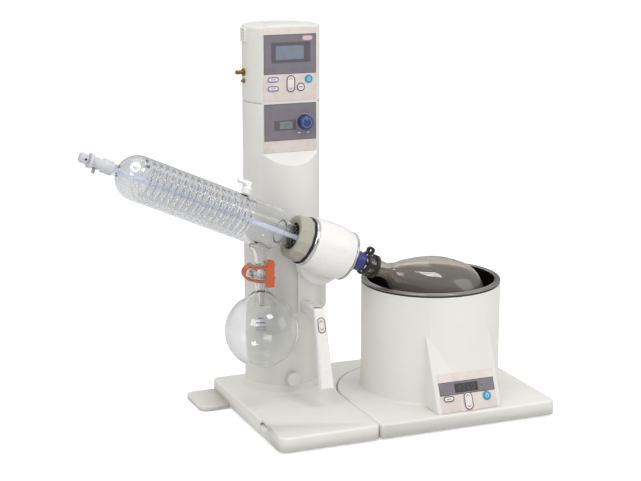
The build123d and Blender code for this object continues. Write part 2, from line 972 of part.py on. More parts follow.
def ring_nut():
    """Twelve-sided nut, narrower to the front, with a lip behind the flange."""
    slope = math.degrees(math.atan2(nut_radius - nut_front_radius, nut_end - nut_start))
    base = Plane.XY.offset(nut_end) * RegularPolygon(nut_radius, nut_sides)
    body = extrude(base, nut_end - nut_start, dir=(0, 0, -1), taper=slope)
    front = turned(
        (0, nut_start - 1), (nut_front_radius - 3, nut_start - 1),
        (nut_radius + 4, nut_start + 7), (nut_radius + 4, nut_end + 1), (0, nut_end + 1),
    )
    body &= front
    seat = condenser_end - flange_height - loose_gap
    lip = seat - nut_lip_depth
    flange_room = condenser_flange_radius + 1
    bore = spigot_radius + running_gap
    space = turned(
        (0, nut_start - 1), (nut_mouth_radius, nut_start - 1), (nut_mouth_radius, nut_start),
        (nut_lip_radius, lip), (nut_lip_radius, seat), (flange_room, seat),
        (flange_room, spigot_start - loose_gap), (bore, spigot_start - loose_gap),
        (bore, nut_end + 1), (0, nut_end + 1),
    )
    return on_head(body - space)


def head_seals():
    """Seal under the condenser flange and the gasket behind the ring nut."""
    seal = tube(condenser_flange_radius - 1, 17, condenser_end, spigot_start)
    gasket = tube(gasket_radius, spigot_radius + 0.2, nut_end + loose_gap, flange_start)
    return Compound([on_head(seal), on_head(gasket)])


# Condenser


def condenser_solid(inset, low, high):
    """Filled condenser body, its surface moved in by an inset."""
    body = condenser_radius - inset
    neck = condenser_neck_radius - inset
    half = math.sqrt(0.5)
    tip_neck = neck_radius - inset
    dome_meets = condenser_dome - math.sqrt(body**2 - tip_neck**2)
    dome = ThreePointArc(
        (tip_neck, 0, dome_meets),
        (body * half, 0, condenser_dome - body * half),
        (body, 0, condenser_dome),
    )
    shoulder = ThreePointArc(
        (body, 0, condenser_shoulder),
        (neck + (body - neck) * half, 0, condenser_shoulder + (body - neck) * half),
        (neck, 0, condenser_shoulder + body - neck),
    )
    lines = Polyline((body, 0, condenser_dome), (body, 0, condenser_shoulder))
    ends = Polyline(
        (neck, 0, condenser_shoulder + body - neck), (neck, 0, high), (0, 0, high),
        (0, 0, low), (tip_neck, 0, low), (tip_neck, 0, dome_meets),
    )
    return revolve(make_face(dome + lines + shoulder + ends), Axis.Z, 360)


def drop_tube_cut(radius, bottom):
    """Vertical bar at the outlet, up to the head axis."""
    top = axis_height - (drop_x - axis_x) * math.tan(math.radians(tilt_deg))
    return rod(radius, bottom, top, drop_x, axis_y)


port_up = 13.6
port_front = 31.0
port_along = -350.5


def dome_port_plane():
    """Plane on the dome, facing away from the dome's centre."""
    centre = Vector(0, 0, condenser_dome)
    spot = Vector(port_up, port_front, port_along)
    return Plane(origin=centre + (spot - centre).normalized() * condenser_radius,
                 z_dir=(spot - centre).normalized())


water_along = -141.0
elbow_radius = 5.0
elbow_arm = 10.0


def condenser_body():
    """Glass body with its outlet, ball joint, water ports and flange."""
    end = condenser_end
    outer = on_head(condenser_solid(0, condenser_start, end))
    flange = on_head(
        tube(condenser_flange_radius, condenser_neck_radius - 1, end - flange_height, end)
    )
    outlet = drop_tube_cut(drop_tube_radius, ball_z)
    ball = Pos(drop_x, axis_y, ball_z) * Sphere(ball_radius)
    ball -= rod(30, 0, ball_z - 13, drop_x, axis_y)
    collar = Pos(drop_x, axis_y) * tube(21, 8, ball_z, ball_z + 4)
    stub_left = dome_port_plane()
    port_a = on_head(extrude(stub_left.offset(-4) * Circle(5.5), 13))
    top_face = Plane(origin=(0, 0, water_along), x_dir=(0, 0, 1), z_dir=(1, 0, 0))
    port_b = on_head(extrude(top_face.offset(condenser_radius - 4) * Circle(5.5), 13))
    whole = outer + flange + outlet + ball + collar + port_a + port_b
    space = on_head(condenser_solid(condenser_wall, condenser_start - 8, end + 1))
    space += drop_tube_cut(drop_tube_radius - 2.2, 200)
    space += on_head(extrude(stub_left.offset(-8) * Circle(3.5), 30))
    space += on_head(extrude(top_face.offset(condenser_radius - 8) * Circle(3.5), 30))
    return whole - space


def cooling_coil():
    """Cooling coil wound about the feed tube."""
    height = coil_pitch * coil_turns
    path = Pos(0, 0, coil_start) * Helix(coil_pitch, height, coil_radius)
    start = Plane(origin=path @ 0, z_dir=path % 0)
    coil = sweep(start * Circle(coil_tube_radius), path=path, is_frenet=True)
    return on_head(coil)


def feed_tube():
    return on_head(rod(feed_tube_radius, feed_tube_start, feed_tube_end))


def feed_adapter():
    """Stopcock body with a collar and a nipple that points down."""
    socket = neck_radius + 3
    body = turned(
        (0, adapter_start), (adapter_collar, adapter_start),
        (adapter_collar, adapter_start + 5.5), (adapter_radius, adapter_start + 7),
        (adapter_radius, condenser_start - 8), (socket, condenser_start - 6),
        (socket, adapter_end), (0, adapter_end),
    )
    body -= rod(neck_radius + running_gap, condenser_start, adapter_end + 1)
    body += rod(neck_radius - condenser_wall - 0.2, condenser_start - 1, adapter_end - 2)
    body -= rod(feed_tube_radius + running_gap, feed_tube_start, adapter_end)
    body -= rod(stem_radius + running_gap, adapter_start - 1, adapter_start + 14)
    side = Plane(origin=(0, 0, adapter_nipple), x_dir=(0, 0, 1), z_dir=(-1, 0, 0))
    root = Circle(adapter_nipple_radius + 2.6)
    body += extrude(side.offset(adapter_radius - 2) * root, 2.7)
    face = side.offset(adapter_radius + 0.7)
    body += extrude(face * Circle(adapter_nipple_radius), adapter_nipple_length)
    return on_head(body)


def stopcock_key():
    """Knob of the stopcock with its stem."""
    end = adapter_start - loose_gap
    knob = turned(
        (0, end - 16), (7.5, end - 16), (8.6, end - 14.5), (8.6, end - 3), (5.5, end), (0, end)
    )
    for turn in range(10):
        knob -= Rot(0, 0, 36 * turn) * rod(1.2, end - 20, end - 4, 9.2)
    knob += rod(stem_radius, end, adapter_start + 13)
    return on_head(knob)


def dome_connector():
    """Screw cap with a short hose nipple on the dome port."""
    plane = dome_port_plane().offset(2.5)
    cap = extrude(plane * Circle(9), 12)
    cap = fillet(cap.edges(), 1)
    cap -= extrude(plane.offset(-1) * Circle(5.5), 1 + 6.5)
    cap += extrude(plane.offset(12) * Circle(3.5), 12)
    return on_head(cap)


def elbow_connector():
    """Screw cap with an elbow nipple on top of the condenser."""
    top_face = Plane(origin=(0, 0, water_along), x_dir=(0, 0, 1), z_dir=(1, 0, 0))
    cap_plane = top_face.offset(condenser_radius + 2)
    cap = extrude(cap_plane * Circle(9), 12)
    cap = fillet(cap.edges(), 1)
    cap -= extrude(cap_plane.offset(-1) * Circle(5.5), 1 + 7)
    elbow = extrude(cap_plane.offset(12) * Circle(elbow_radius), elbow_radius)
    nose_plane = Plane(
        origin=(condenser_radius + 2 + 12 + elbow_radius, 0, water_along),
        x_dir=(1, 0, 0),
        z_dir=(0, 0, -1),
    )
    elbow += nose_plane.location * Sphere(elbow_radius)
    elbow += extrude(nose_plane * Circle(elbow_radius), elbow_arm)
    elbow += extrude(nose_plane.offset(elbow_arm) * Circle(3.5), 12)
    return on_head(cap + elbow)


# Receiver


def receiver_solid(inset, top):
    """Filled receiver with its flared neck, its surface moved in by an inset."""
    ball = receiver_radius - inset
    neck = drop_tube_radius - inset
    foot = flare_radius - inset
    meets = receiver_z + math.sqrt(ball**2 - foot**2) - 0.4
    flare = Spline(
        (neck, 0, flare_top), (neck + 2.2, 0, flare_top - 5),
        (neck + 11, 0, flare_top - 12), (foot, 0, meets), tangents=[(0, 0, -1), (1, 0, -0.6)],
    )
    rest = Polyline(
        (foot, 0, meets), (0, 0, meets - 8), (0, 0, top), (neck, 0, top), (neck, 0, flare_top)
    )
    stem = revolve(make_face(flare + rest), Axis.Z, 360)
    return Pos(drop_x, axis_y) * (Pos(0, 0, receiver_z) * Sphere(ball) + stem)


def receiver_flask():
    """Round flask with a neck and the cup of the ball joint."""
    top = ball_z - 2.0
    body = receiver_solid(0, ball_z - 15)
    cup = Pos(drop_x, axis_y, ball_z) * Sphere(ball_radius + loose_gap + cup_wall)
    cup -= rod(40, top, ball_z + 50, drop_x, axis_y)
    body += cup
    body += Pos(drop_x, axis_y) * tube(22, 18, top - 4, top)
    space = receiver_solid(glass_wall, ball_z)
    space += Pos(drop_x, axis_y, ball_z) * Sphere(ball_radius + loose_gap)
    return body - space


def sphere_width(radius, height):
    """Radius of a ball's section at a height above its centre."""
    return math.sqrt(radius**2 - height**2)


def fork_clamp():
    """Two forks, bent from one strap, that press the ball joint together."""
    cup = ball_radius + loose_gap + cup_wall
    low_top = clamp_low + clamp_plate
    high_top = clamp_high + clamp_plate

    def fork(bottom, inner):
        ring = tube(clamp_radius, inner, bottom, bottom + clamp_plate)
        mouth = block(-inner, inner, 0, 40, bottom - 1, bottom + clamp_plate + 1)
        return ring - mouth

    body = fork(clamp_low, sphere_width(cup, ball_z - low_top) + loose_gap)
    body += fork(clamp_high, sphere_width(ball_radius, clamp_high - ball_z) + loose_gap)
    middle = (clamp_low + high_top) / 2
    bend = (high_top - clamp_low) / 2
    side = Plane(origin=(strap_x, 0, middle), x_dir=(1, 0, 0), z_dir=(0, 1, 0))
    loop = side * (Circle(bend) - Circle(bend - clamp_plate))
    strap = extrude(loop, strap_width / 2, both=True)
    body += strap - block(strap_x, strap_x + 40, -20, 20, clamp_low - 1, high_top + 1)
    shield_front = -clamp_radius - 1
    shield = block(
        shield_left, shield_right, shield_front, shield_front + clamp_plate,
        shield_bottom, high_top,
    )
    body += fillet(shield.edges().filter_by(Axis.Y), 2)
    ear = block(
        shield_left + 4, shield_right, shield_front, -15, clamp_high, ear_top
    )
    body += fillet(ear.edges().filter_by(Axis.Y).group_by(Axis.Z)[-1], 4)
    return Pos(drop_x, axis_y) * body


# Bath


def bath_wedge():
    """Sloping control housing in front of the bath."""
    rise = math.tan(math.radians(wedge_slope))
    top = base_top + (bath_y - wedge_front) * rise
    side = make_face(
        Plane.YZ * Polyline(
            (wedge_front, base_top), (bath_y, base_top), (bath_y, top), close=True
        )
    )
    prism = extrude(side, wedge_half_width, both=True)
    return Pos(bath_x, 0, 0) * prism


def bath_housing():
    """Round housing with its control wedge, open at the top for the pot."""
    outer = rod(bath_radius, base_top, bath_top, bath_x, bath_y)
    flare = Pos(bath_x, bath_y) * turned(
        (bath_radius - 2, base_top), (bath_radius + 5, base_top),
        (bath_radius + 1.5, base_top + 1.5), (bath_radius, base_top + 5),
        (bath_radius - 2, base_top + 5),
    )
    limit = rod(bath_radius - 1, base_top, bath_top, bath_x, bath_y)
    wedge = bath_wedge() - limit
    wedge &= block(
        bath_x - 100, bath_x + 100, wedge_front - 1, bath_y, base_top, bath_top - 40
    )
    body = outer + flare + wedge
    inside = rod(bath_radius - bath_wall, base_top - 1, bath_top + 1, bath_x, bath_y)
    body -= inside
    for key in bath_keys:
        body -= wedge_slug(key, key_gap, -key_pocket, 1)
    return body


def bath_pot():
    """Pot with a wide rim that rests on the housing."""
    outer = pot_radius + pot_wall
    return Pos(bath_x, bath_y) * turned(
        (0, pot_floor), (outer - 8, pot_floor), (outer, pot_floor + 8),
        (outer, bath_rim_bottom), (bath_radius - 1, bath_rim_bottom),
        (bath_radius, bath_rim_bottom + 1), (bath_radius, bath_rim_top - 1),
        (bath_radius - 1, bath_rim_top), (pot_radius + 1, bath_rim_top),
        (pot_radius, bath_rim_top - 1), (pot_radius, pot_floor + 9),
        (pot_radius - 7.5, pot_floor + pot_wall), (0, pot_floor + pot_wall),
    )


def bath_gasket():
    return Pos(bath_x, bath_y) * tube(
        bath_radius - 0.6, pot_radius + pot_wall + 0.2, bath_top, bath_rim_bottom
    )


def bath_heater():
    """Flat heater ring clamped under the pot."""
    return Pos(bath_x, bath_y) * tube(
        heater_radius, heater_bore, pot_floor - heater_height, pot_floor
    )


wedge_plane = Plane(
    origin=(bath_x, wedge_front, base_top),
    x_dir=(1, 0, 0),
    z_dir=(0, -math.sin(math.radians(wedge_slope)), math.cos(math.radians(wedge_slope))),
)
bath_panel_low = 0.5
bath_panel_high = 70.0
bath_panel_half = 55.0


def bath_panel():
    """Front plate on the slope, with a hole behind each key."""
    plate = extrude(
        wedge_plane * (
            Pos(0, (bath_panel_low + bath_panel_high) / 2)
            * RectangleRounded(2 * bath_panel_half, bath_panel_high - bath_panel_low, 2)
        ),
        panel_thickness,
    )
    for key in bath_keys:
        plate -= wedge_slug(key, key_gap, -1, 4)
    return plate


bath_mode_key = (-39.0, 25.0, 21.0, 10.0)
bath_rocker = (-1.0, 17.5, 17.0, 32.0)
bath_power_key = (37.0, 22.5, 16.0, 16.0)
bath_keys = [bath_mode_key, bath_rocker, bath_power_key]


def wedge_slug(key, grow, low, high):
    """Prism with a key's outline, standing on the slope."""
    x, up, width, height = key
    width += 2 * grow
    height += 2 * grow
    if abs(width - height) < 0.01:
        outline = Circle(width / 2)
    elif width > height:
        outline = SlotOverall(width, height)
    else:
        outline = SlotOverall(height, width, rotation=90)
    return extrude(wedge_plane.offset(low) * (Pos(x, up) * outline), high - low)


def wedge_key(key):
    top = panel_thickness + key_height
    cap = wedge_slug(key, 0, loose_gap, top)
    outward = wedge_plane.z_dir
    face = cap.faces().sort_by(lambda f: f.center().dot(outward))[-1]
    return fillet(face.edges(), 0.7)


def bath_display():
    """Display window on the bath panel."""
    pane = wedge_plane.offset(panel_thickness) * (
        Pos(-1, bath_display_up) * RectangleRounded(46, 16, 1)
    )
    return extrude(pane, display_height)


def main():
    save("main_base", main_base())
    save("main_feet", main_feet())
    save("stabiliser_foot", stabiliser_foot())
    save("level_wheel", level_wheel())
    save("bath_base", bath_base())
    save("bath_feet", bath_feet())
    save("column_foot", column_foot())
    save("column_shell", column_shell())
    save("vacuum_controller", vacuum_controller())
    upper_plate = panel_plate(column_top + 4, controller_top - 2, controller_keys)
    save("controller_panel", upper_plate)
    windows = [window(*controller_display), window(*speed_display)]
    save("front_displays", Compound(windows))
    save("start_key", key_cap(start_key))
    save("mode_key", key_cap(mode_key))
    save("vacuum_rocker", key_cap(vacuum_rocker))
    save("vent_key", key_cap(vent_key))
    save("vacuum_power_key", key_cap(vacuum_power_key))
    save("speed_panel", speed_panel())
    save("speed_knob", speed_knob())
    save("lock_knob", lock_knob())
    save("brass_fittings", brass_fittings())
    save("saddle", saddle())
    save("lift_nut", lift_nut())
    save("lead_screw", lead_screw())
    save("guide_rods", guide_rods())
    save("lift_motor", lift_motor())
    save("screw_block", screw_block())
    save("tilt_pin", tilt_pin())
    save("lift_handle", lift_handle())
    save("lift_switch", lift_switch())
    save("head_housing", head_housing())
    save("front_flange", front_flange())
    save("end_ring", end_ring())
    save("head_seals", head_seals())
    save("bearings", bearings())
    save("drive_gear", drive_gear())
    save("drive_pinion", drive_pinion())
    save("drive_motor", drive_motor())
    save("hollow_shaft", hollow_shaft())
    save("vapour_tube", vapour_tube())
    save("push_bushing", push_bushing())
    save("joint_clip", joint_clip())
    save("evaporating_flask", evaporating_flask())
    save("ring_nut", ring_nut())
    save("condenser_body", condenser_body())
    save("cooling_coil", cooling_coil())
    save("feed_tube", feed_tube())
    save("feed_adapter", feed_adapter())
    save("stopcock_key", stopcock_key())
    save("hose_connectors", Compound([dome_connector(), elbow_connector()]))
    save("receiver_flask", receiver_flask())
    save("fork_clamp", fork_clamp())
    save("bath_housing", bath_housing())
    save("bath_pot", bath_pot())
    save("bath_gasket", bath_gasket())
    save("bath_heater", bath_heater())
    save("bath_panel", bath_panel())
    save("bath_display", bath_display())
    save("bath_mode_key", wedge_key(bath_mode_key))
    save("bath_rocker", wedge_key(bath_rocker))
    save("bath_power_key", wedge_key(bath_power_key))


main()
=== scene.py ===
import bmesh
import bpy
import math
from mathutils import Matrix, Vector


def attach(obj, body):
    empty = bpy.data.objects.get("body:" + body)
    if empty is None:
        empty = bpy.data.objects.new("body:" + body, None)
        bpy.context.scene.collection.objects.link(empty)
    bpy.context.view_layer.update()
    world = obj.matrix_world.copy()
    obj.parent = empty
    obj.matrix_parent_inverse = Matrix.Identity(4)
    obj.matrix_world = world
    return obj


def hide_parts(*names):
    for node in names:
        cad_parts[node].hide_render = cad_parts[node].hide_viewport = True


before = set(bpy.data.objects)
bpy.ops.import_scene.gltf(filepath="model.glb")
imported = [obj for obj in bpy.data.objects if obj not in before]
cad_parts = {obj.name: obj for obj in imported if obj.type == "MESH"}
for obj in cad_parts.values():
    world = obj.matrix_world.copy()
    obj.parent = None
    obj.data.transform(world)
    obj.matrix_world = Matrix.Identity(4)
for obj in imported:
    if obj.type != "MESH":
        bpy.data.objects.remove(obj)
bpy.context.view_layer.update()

# Sizes are in millimetres until a piece is settled in the frame.
TILT = math.radians(24)
HEAD_Y = -127.0
FLAT_Y = -45.5
FLAT_END = 477
COLUMN_RADIUS = 69.5
COLUMN_FOOT = 48
SEAM = 566
TOP = 702
PLATE = 1
SKIN = 0.25
DIAL = (26.4, 530.9, 0)
HANDLE_X = 18.5
BODY_RADIUS = 39.0
DOME = -332.0
BALL_MIDDLE = 282.5
RECEIVER_MIDDLE = 176
FLASK_MIDDLE = 313
FLASK_RADIUS = 65.5
GLASS_WALL = 2.2
BATH_X = 252.5
BATH_LOW = 30
BATH_HIGH = 230.5
BATH_RADIUS = 128.5
WEDGE_FRONT = -277
SLOPE = math.radians(67.5)

# Own axes of a piece: the head's tilted axis, the flat front, the bath's slope, and the
# upright axes of the bath and of the receiver.
HEAD = Matrix((
    (math.sin(TILT), 0, math.cos(TILT), -3.0),
    (0, -1, 0, HEAD_Y),
    (math.cos(TILT), 0, -math.sin(TILT), 331.1),
    (0, 0, 0, 1),
))
FRONT = Matrix(((1, 0, 0, 0), (0, 0, -1, FLAT_Y), (0, 1, 0, 0), (0, 0, 0, 1)))
WEDGE = Matrix((
    (1, 0, 0, BATH_X),
    (0, math.cos(SLOPE), -math.sin(SLOPE), WEDGE_FRONT),
    (0, math.sin(SLOPE), math.cos(SLOPE), BATH_LOW),
    (0, 0, 0, 1),
))
BATH = Matrix.Translation((BATH_X, -110, 0))
RECEIVER = Matrix.Translation((-87.5, HEAD_Y, 0))

# Keys as middle, width and height on their plate.
controller_keys = [(-32.5, 609, 21, 9), (-32.5, 593, 21, 9), (1, 600.5, 16, 30),
                   (20, 594, 15, 15), (35.5, 607.5, 14.5, 14.5)]
bath_keys = [(-39, 25, 21, 10), (-1, 17.5, 17, 32), (37, 22.5, 16, 16)]


# Meshes


def mesh_of(points, faces):
    """Mesh of bare points and faces."""
    mesh = bpy.data.meshes.new("part")
    mesh.from_pydata([tuple(p) for p in points], [], faces)
    return outward(mesh)


def outward(mesh):
    """Close doubles and turn every face outwards."""
    work = bmesh.new()
    work.from_mesh(mesh)
    bmesh.ops.remove_doubles(work, verts=work.verts, dist=1e-5)
    bmesh.ops.recalc_face_normals(work, faces=work.faces)
    work.to_mesh(mesh)
    work.free()
    return mesh


def moved(mesh, matrix):
    """The same mesh, moved in place, with its faces still outwards under a mirror."""
    mesh.transform(matrix)
    if matrix.determinant() < 0:
        mesh.flip_normals()
    return mesh


def baked(holder):
    """Plain mesh of an object with its modifiers, and the object removed."""
    graph = bpy.context.evaluated_depsgraph_get()
    mesh = bpy.data.meshes.new_from_object(holder.evaluated_get(graph), depsgraph=graph)
    bpy.data.objects.remove(holder)
    return mesh


def holder_of(mesh):
    """Passing object that carries a mesh while modifiers work on it."""
    holder = bpy.data.objects.new("holder", mesh)
    bpy.context.scene.collection.objects.link(holder)
    return holder


def cut_or_joined(base, others, operation):
    """Exact Boolean of one mesh with several, one after another."""
    holder = holder_of(base)
    tools = [holder_of(other) for other in others]
    for tool in tools:
        step = holder.modifiers.new("step", "BOOLEAN")
        step.operation = operation
        step.solver = "EXACT"
        step.object = tool
    mesh = baked(holder)
    for tool in tools:
        bpy.data.objects.remove(tool)
    return mesh


def joined(base, *others):
    return cut_or_joined(base, others, "UNION")


def cut(base, *others):
    return cut_or_joined(base, others, "DIFFERENCE")


def together(*parts):
    """One mesh of several loose ones, without joining their surfaces."""
    work = bmesh.new()
    for part in parts:
        work.from_mesh(part)
    mesh = bpy.data.meshes.new("part")
    work.to_mesh(mesh)
    work.free()
    return mesh


def moulded(mesh, voxel, smoothing):
    """One soft skin over a mesh, as a casting has."""
    holder = holder_of(mesh)
    remesh = holder.modifiers.new("skin", "REMESH")
    remesh.mode = "VOXEL"
    remesh.voxel_size = voxel
    soft = holder.modifiers.new("soft", "SMOOTH")
    soft.factor = 0.5
    soft.iterations = smoothing
    return baked(holder)


def bevelled(mesh, width, segments=3, angle=30):
    """Round every edge that is sharper than the angle."""
    holder = holder_of(mesh)
    edge = holder.modifiers.new("edge", "BEVEL")
    edge.width = width
    edge.segments = segments
    edge.limit_method = "ANGLE"
    edge.angle_limit = math.radians(angle)
    edge.use_clamp_overlap = True
    return baked(holder)


# Outlines


def arc(centre, radius, start, end, steps):
    """Points of a circular arc, angles in degrees."""
    turn = [math.radians(start + (end - start) * i / steps) for i in range(steps + 1)]
    return [(centre[0] + radius * math.cos(a), centre[1] + radius * math.sin(a)) for a in turn]


def smooth_line(points, steps=8):
    """Smooth line through the points."""
    ends = [points[0]] + list(points) + [points[-1]]
    line = []
    for i in range(1, len(ends) - 2):
        a, b, c, d = (Vector(p) for p in ends[i - 1:i + 3])
        for k in range(steps):
            t = k / steps
            line.append(tuple(0.5 * (2 * b + (c - a) * t + (2 * a - 5 * b + 4 * c - d) * t * t
                                     + (3 * b - a - 3 * c + d) * t ** 3)))
    return line + [tuple(points[-1])]


def soften(outline, size, steps=3):
    """Round every corner of a closed outline that lies off the axis."""
    result = []
    count = len(outline)
    for i, point in enumerate(outline):
        here = Vector(point)
        before = Vector(outline[i - 1]) - here
        after = Vector(outline[(i + 1) % count]) - here
        reach = min(size, 0.45 * before.length, 0.45 * after.length)
        sharp = reach > 1e-3 and before.angle(after) < math.radians(160)
        if abs(point[0]) < 1e-6 or not sharp:
            result.append(tuple(here))
            continue
        first = here + before.normalized() * reach
        last = here + after.normalized() * reach
        for k in range(steps + 1):
            t = k / steps
            result.append(tuple(first * (1 - t) ** 2 + here * 2 * t * (1 - t) + last * t * t))
    return result


def box_outline(width, height, corner=0.0, steps=5):
    """Rectangle about the origin, with round corners."""
    w = width / 2 - corner
    h = height / 2 - corner
    if corner <= 0:
        return [(w, -h), (w, h), (-w, h), (-w, -h)]
    points = []
    for x, y, start in ((w, -h, -90), (w, h, 0), (-w, h, 90), (-w, -h, 180)):
        points += arc((x, y), corner, start, start + 90, steps)
    return points


def pill(width, height, steps=12):
    return box_outline(width, height, min(width, height) / 2 - 1e-4, steps)


def shifted(outline, x, y):
    return [(px + x, py + y) for px, py in outline]


def stroke(points, width):
    """Outline of a line of constant width."""
    left, right = [], []
    for i, point in enumerate(points):
        here = Vector(point)
        ahead = Vector(points[min(i + 1, len(points) - 1)]) - here
        behind = here - Vector(points[max(i - 1, 0)])
        along = (ahead.normalized() + behind.normalized()).normalized()
        bend = max(0.5, along.dot(ahead.normalized() if ahead.length else behind.normalized()))
        side = Vector((-along.y, along.x)) * width / 2 / bend
        left.append(tuple(here + side))
        right.append(tuple(here - side))
    return left + right[::-1]


# Solids from outlines


def lathe(outline, segments=144):
    """Solid of a closed outline of (radius, height) points turned about Z."""
    points, faces, rings = [], [], []
    turns = [2 * math.pi * i / segments for i in range(segments)]
    for radius, height in outline:
        first = len(points)
        if radius < 1e-6:
            points.append((0, 0, height))
            rings.append([first] * segments)
        else:
            points += [(radius * math.cos(a), radius * math.sin(a), height) for a in turns]
            rings.append(list(range(first, first + segments)))
    for low, high in zip(rings, rings[1:] + rings[:1]):
        for i in range(segments):
            j = (i + 1) % segments
            corners = [low[i], low[j], high[j], high[i]]
            face = [c for k, c in enumerate(corners) if c != corners[k - 1]]
            if len(face) > 2:
                faces.append(face)
    return mesh_of(points, faces)


def loft(rings, capped=True):
    """Skin over rings of equally many points."""
    count = len(rings[0])
    points = [p for ring in rings for p in ring]
    faces = []
    for r in range(len(rings) - 1):
        for i in range(count):
            j = (i + 1) % count
            faces.append((r * count + i, r * count + j, (r + 1) * count + j, (r + 1) * count + i))
    if capped:
        faces.append(tuple(range(count)))
        faces.append(tuple(range(len(points) - count, len(points))))
    return mesh_of(points, faces)


def prism(outline, low, high):
    return loft([[(x, y, z) for x, y in outline] for z in (low, high)])


def bar(outline, low, high):
    """Solid of a side outline of (y, z) points, between two places on X."""
    return loft([[(x, y, z) for y, z in outline] for x in (low, high)])


def rim(outer, inner, low, high):
    """Flat frame between two outlines of equally many points."""
    rings = [(outer, low), (outer, high), (inner, high), (inner, low), (outer, low)]
    return loft([[(x, y, z) for x, y in line] for line, z in rings], capped=False)


def cylinder(radius, low, high, segments=96):
    return lathe([(0, low), (radius, low), (radius, high), (0, high)], segments)


def swept(path, radius, sides=14):
    """Round bar along a line of points."""
    rings = []
    side = None
    for i, point in enumerate(path):
        here = Vector(point)
        ahead = Vector(path[min(i + 1, len(path) - 1)])
        along = (ahead - Vector(path[max(i - 1, 0)])).normalized()
        if side is None:
            side = along.orthogonal().normalized()
        side = (side - along * side.dot(along)).normalized()
        up = along.cross(side)
        rings.append([
            here + (side * math.cos(a) + up * math.sin(a)) * radius
            for a in (2 * math.pi * k / sides for k in range(sides))
        ])
    return loft(rings)


def cad_copy(node):
    """Copy of a CAD node's mesh in millimetres, its corners merged."""
    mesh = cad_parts[node].data.copy()
    mesh.materials.clear()
    mesh.transform(Matrix.Scale(1000, 4))
    work = bmesh.new()
    work.from_mesh(mesh)
    bmesh.ops.remove_doubles(work, verts=work.verts, dist=1e-3)
    work.to_mesh(mesh)
    work.free()
    return mesh


# Node trees for what repeats


def new_tree(name, inputs):
    tree = bpy.data.node_groups.new(name, "GeometryNodeTree")
    tree.is_modifier = True
    for label, kind in inputs:
        tree.interface.new_socket(label, in_out="INPUT", socket_type="NodeSocket" + kind)
    tree.interface.new_socket("Geometry", in_out="OUTPUT", socket_type="NodeSocketGeometry")
    return tree


def add_nodes(tree, **kinds):
    """New nodes of a tree, each under a name of its own."""
    return {name: tree.nodes.new(kind) for name, kind in kinds.items()}


def wire(tree, nodes, table):
    """Link sockets, one pair to a line, each socket written as node.socket."""
    def socket(text, side):
        name, label = text.strip().split(".")
        return getattr(nodes[name], side)[int(label) if label.isdigit() else label]

    for line in table.strip().splitlines():
        source, target = line.split(">")
        tree.links.new(socket(source, "outputs"), socket(target, "inputs"))


def grown(tree, **values):
    """Result of a node tree as a plain mesh."""
    holder = holder_of(bpy.data.meshes.new("part"))
    step = holder.modifiers.new("step", "NODES")
    step.node_group = tree
    for item in tree.interface.items_tree:
        if item.in_out == "INPUT" and item.name in values:
            step[item.identifier] = values[item.name]
    return baked(holder)


def ring_tree():
    """Copies of one piece on a circle about Z, each turned with its place."""
    tree = new_tree("ring_of_copies", [
        ("Piece", "Object"), ("Copies", "Int"), ("Radius", "Float"), ("Material", "Material"),
    ])
    nodes = add_nodes(
        tree, given="NodeGroupInput", points="GeometryNodePoints", index="GeometryNodeInputIndex",
        share="ShaderNodeMath", turn="ShaderNodeMath", angle="ShaderNodeCombineXYZ",
        reach="ShaderNodeCombineXYZ", place="ShaderNodeVectorRotate",
        piece="GeometryNodeObjectInfo", copies="GeometryNodeInstanceOnPoints",
        real="GeometryNodeRealizeInstances", paint="GeometryNodeSetMaterial",
        result="NodeGroupOutput",
    )
    nodes["share"].operation = "DIVIDE"
    nodes["turn"].operation = "MULTIPLY"
    nodes["turn"].inputs[1].default_value = 2 * math.pi
    nodes["place"].rotation_type = "Z_AXIS"
    wire(tree, nodes, """
        given.Copies > points.Count
        index.0 > share.0
        given.Copies > share.1
        share.0 > turn.0
        turn.0 > angle.Z
        given.Radius > reach.X
        reach.0 > place.Vector
        turn.0 > place.Angle
        place.0 > points.Position
        given.Piece > piece.Object
        points.0 > copies.Points
        piece.Geometry > copies.Instance
        angle.0 > copies.Rotation
        copies.0 > real.0
        real.0 > paint.Geometry
        given.Material > paint.Material
        paint.0 > result.0
    """)
    return tree


def coil_tree():
    """Round tube wound about Z at one radius."""
    tree = new_tree("wound_tube", [
        ("Turns", "Float"), ("Radius", "Float"), ("Height", "Float"), ("Tube", "Float"),
        ("Steps", "Int"), ("Sides", "Int"), ("Material", "Material"),
    ])
    nodes = add_nodes(
        tree, given="NodeGroupInput", line="GeometryNodeCurveSpiral",
        section="GeometryNodeCurvePrimitiveCircle", tube="GeometryNodeCurveToMesh",
        real="GeometryNodeRealizeInstances", paint="GeometryNodeSetMaterial",
        result="NodeGroupOutput",
    )
    nodes["tube"].inputs["Fill Caps"].default_value = True
    wire(tree, nodes, """
        given.Turns > line.Rotations
        given.Radius > line.Start Radius
        given.Radius > line.End Radius
        given.Height > line.Height
        given.Steps > line.Resolution
        given.Tube > section.Radius
        given.Sides > section.Resolution
        line.0 > tube.Curve
        section.0 > tube.Profile Curve
        tube.0 > real.0
        real.0 > paint.Geometry
        given.Material > paint.Material
        paint.0 > result.0
    """)
    return tree


RING = ring_tree()
WOUND = coil_tree()


def ring_of(mesh, copies, radius, finish):
    """Copies of a mesh on a circle about Z, as one mesh."""
    holder = holder_of(mesh)
    result = grown(RING, Piece=holder, Copies=copies, Radius=radius, Material=finish)
    bpy.data.objects.remove(holder)
    return result


# Finishes


def srgb(red, green, blue):
    """Linear colour from the 0 to 255 values that a painter would note."""
    def channel(value):
        value /= 255
        return value / 12.92 if value <= 0.04045 else ((value + 0.055) / 1.055) ** 2.4
    return (channel(red), channel(green), channel(blue), 1)


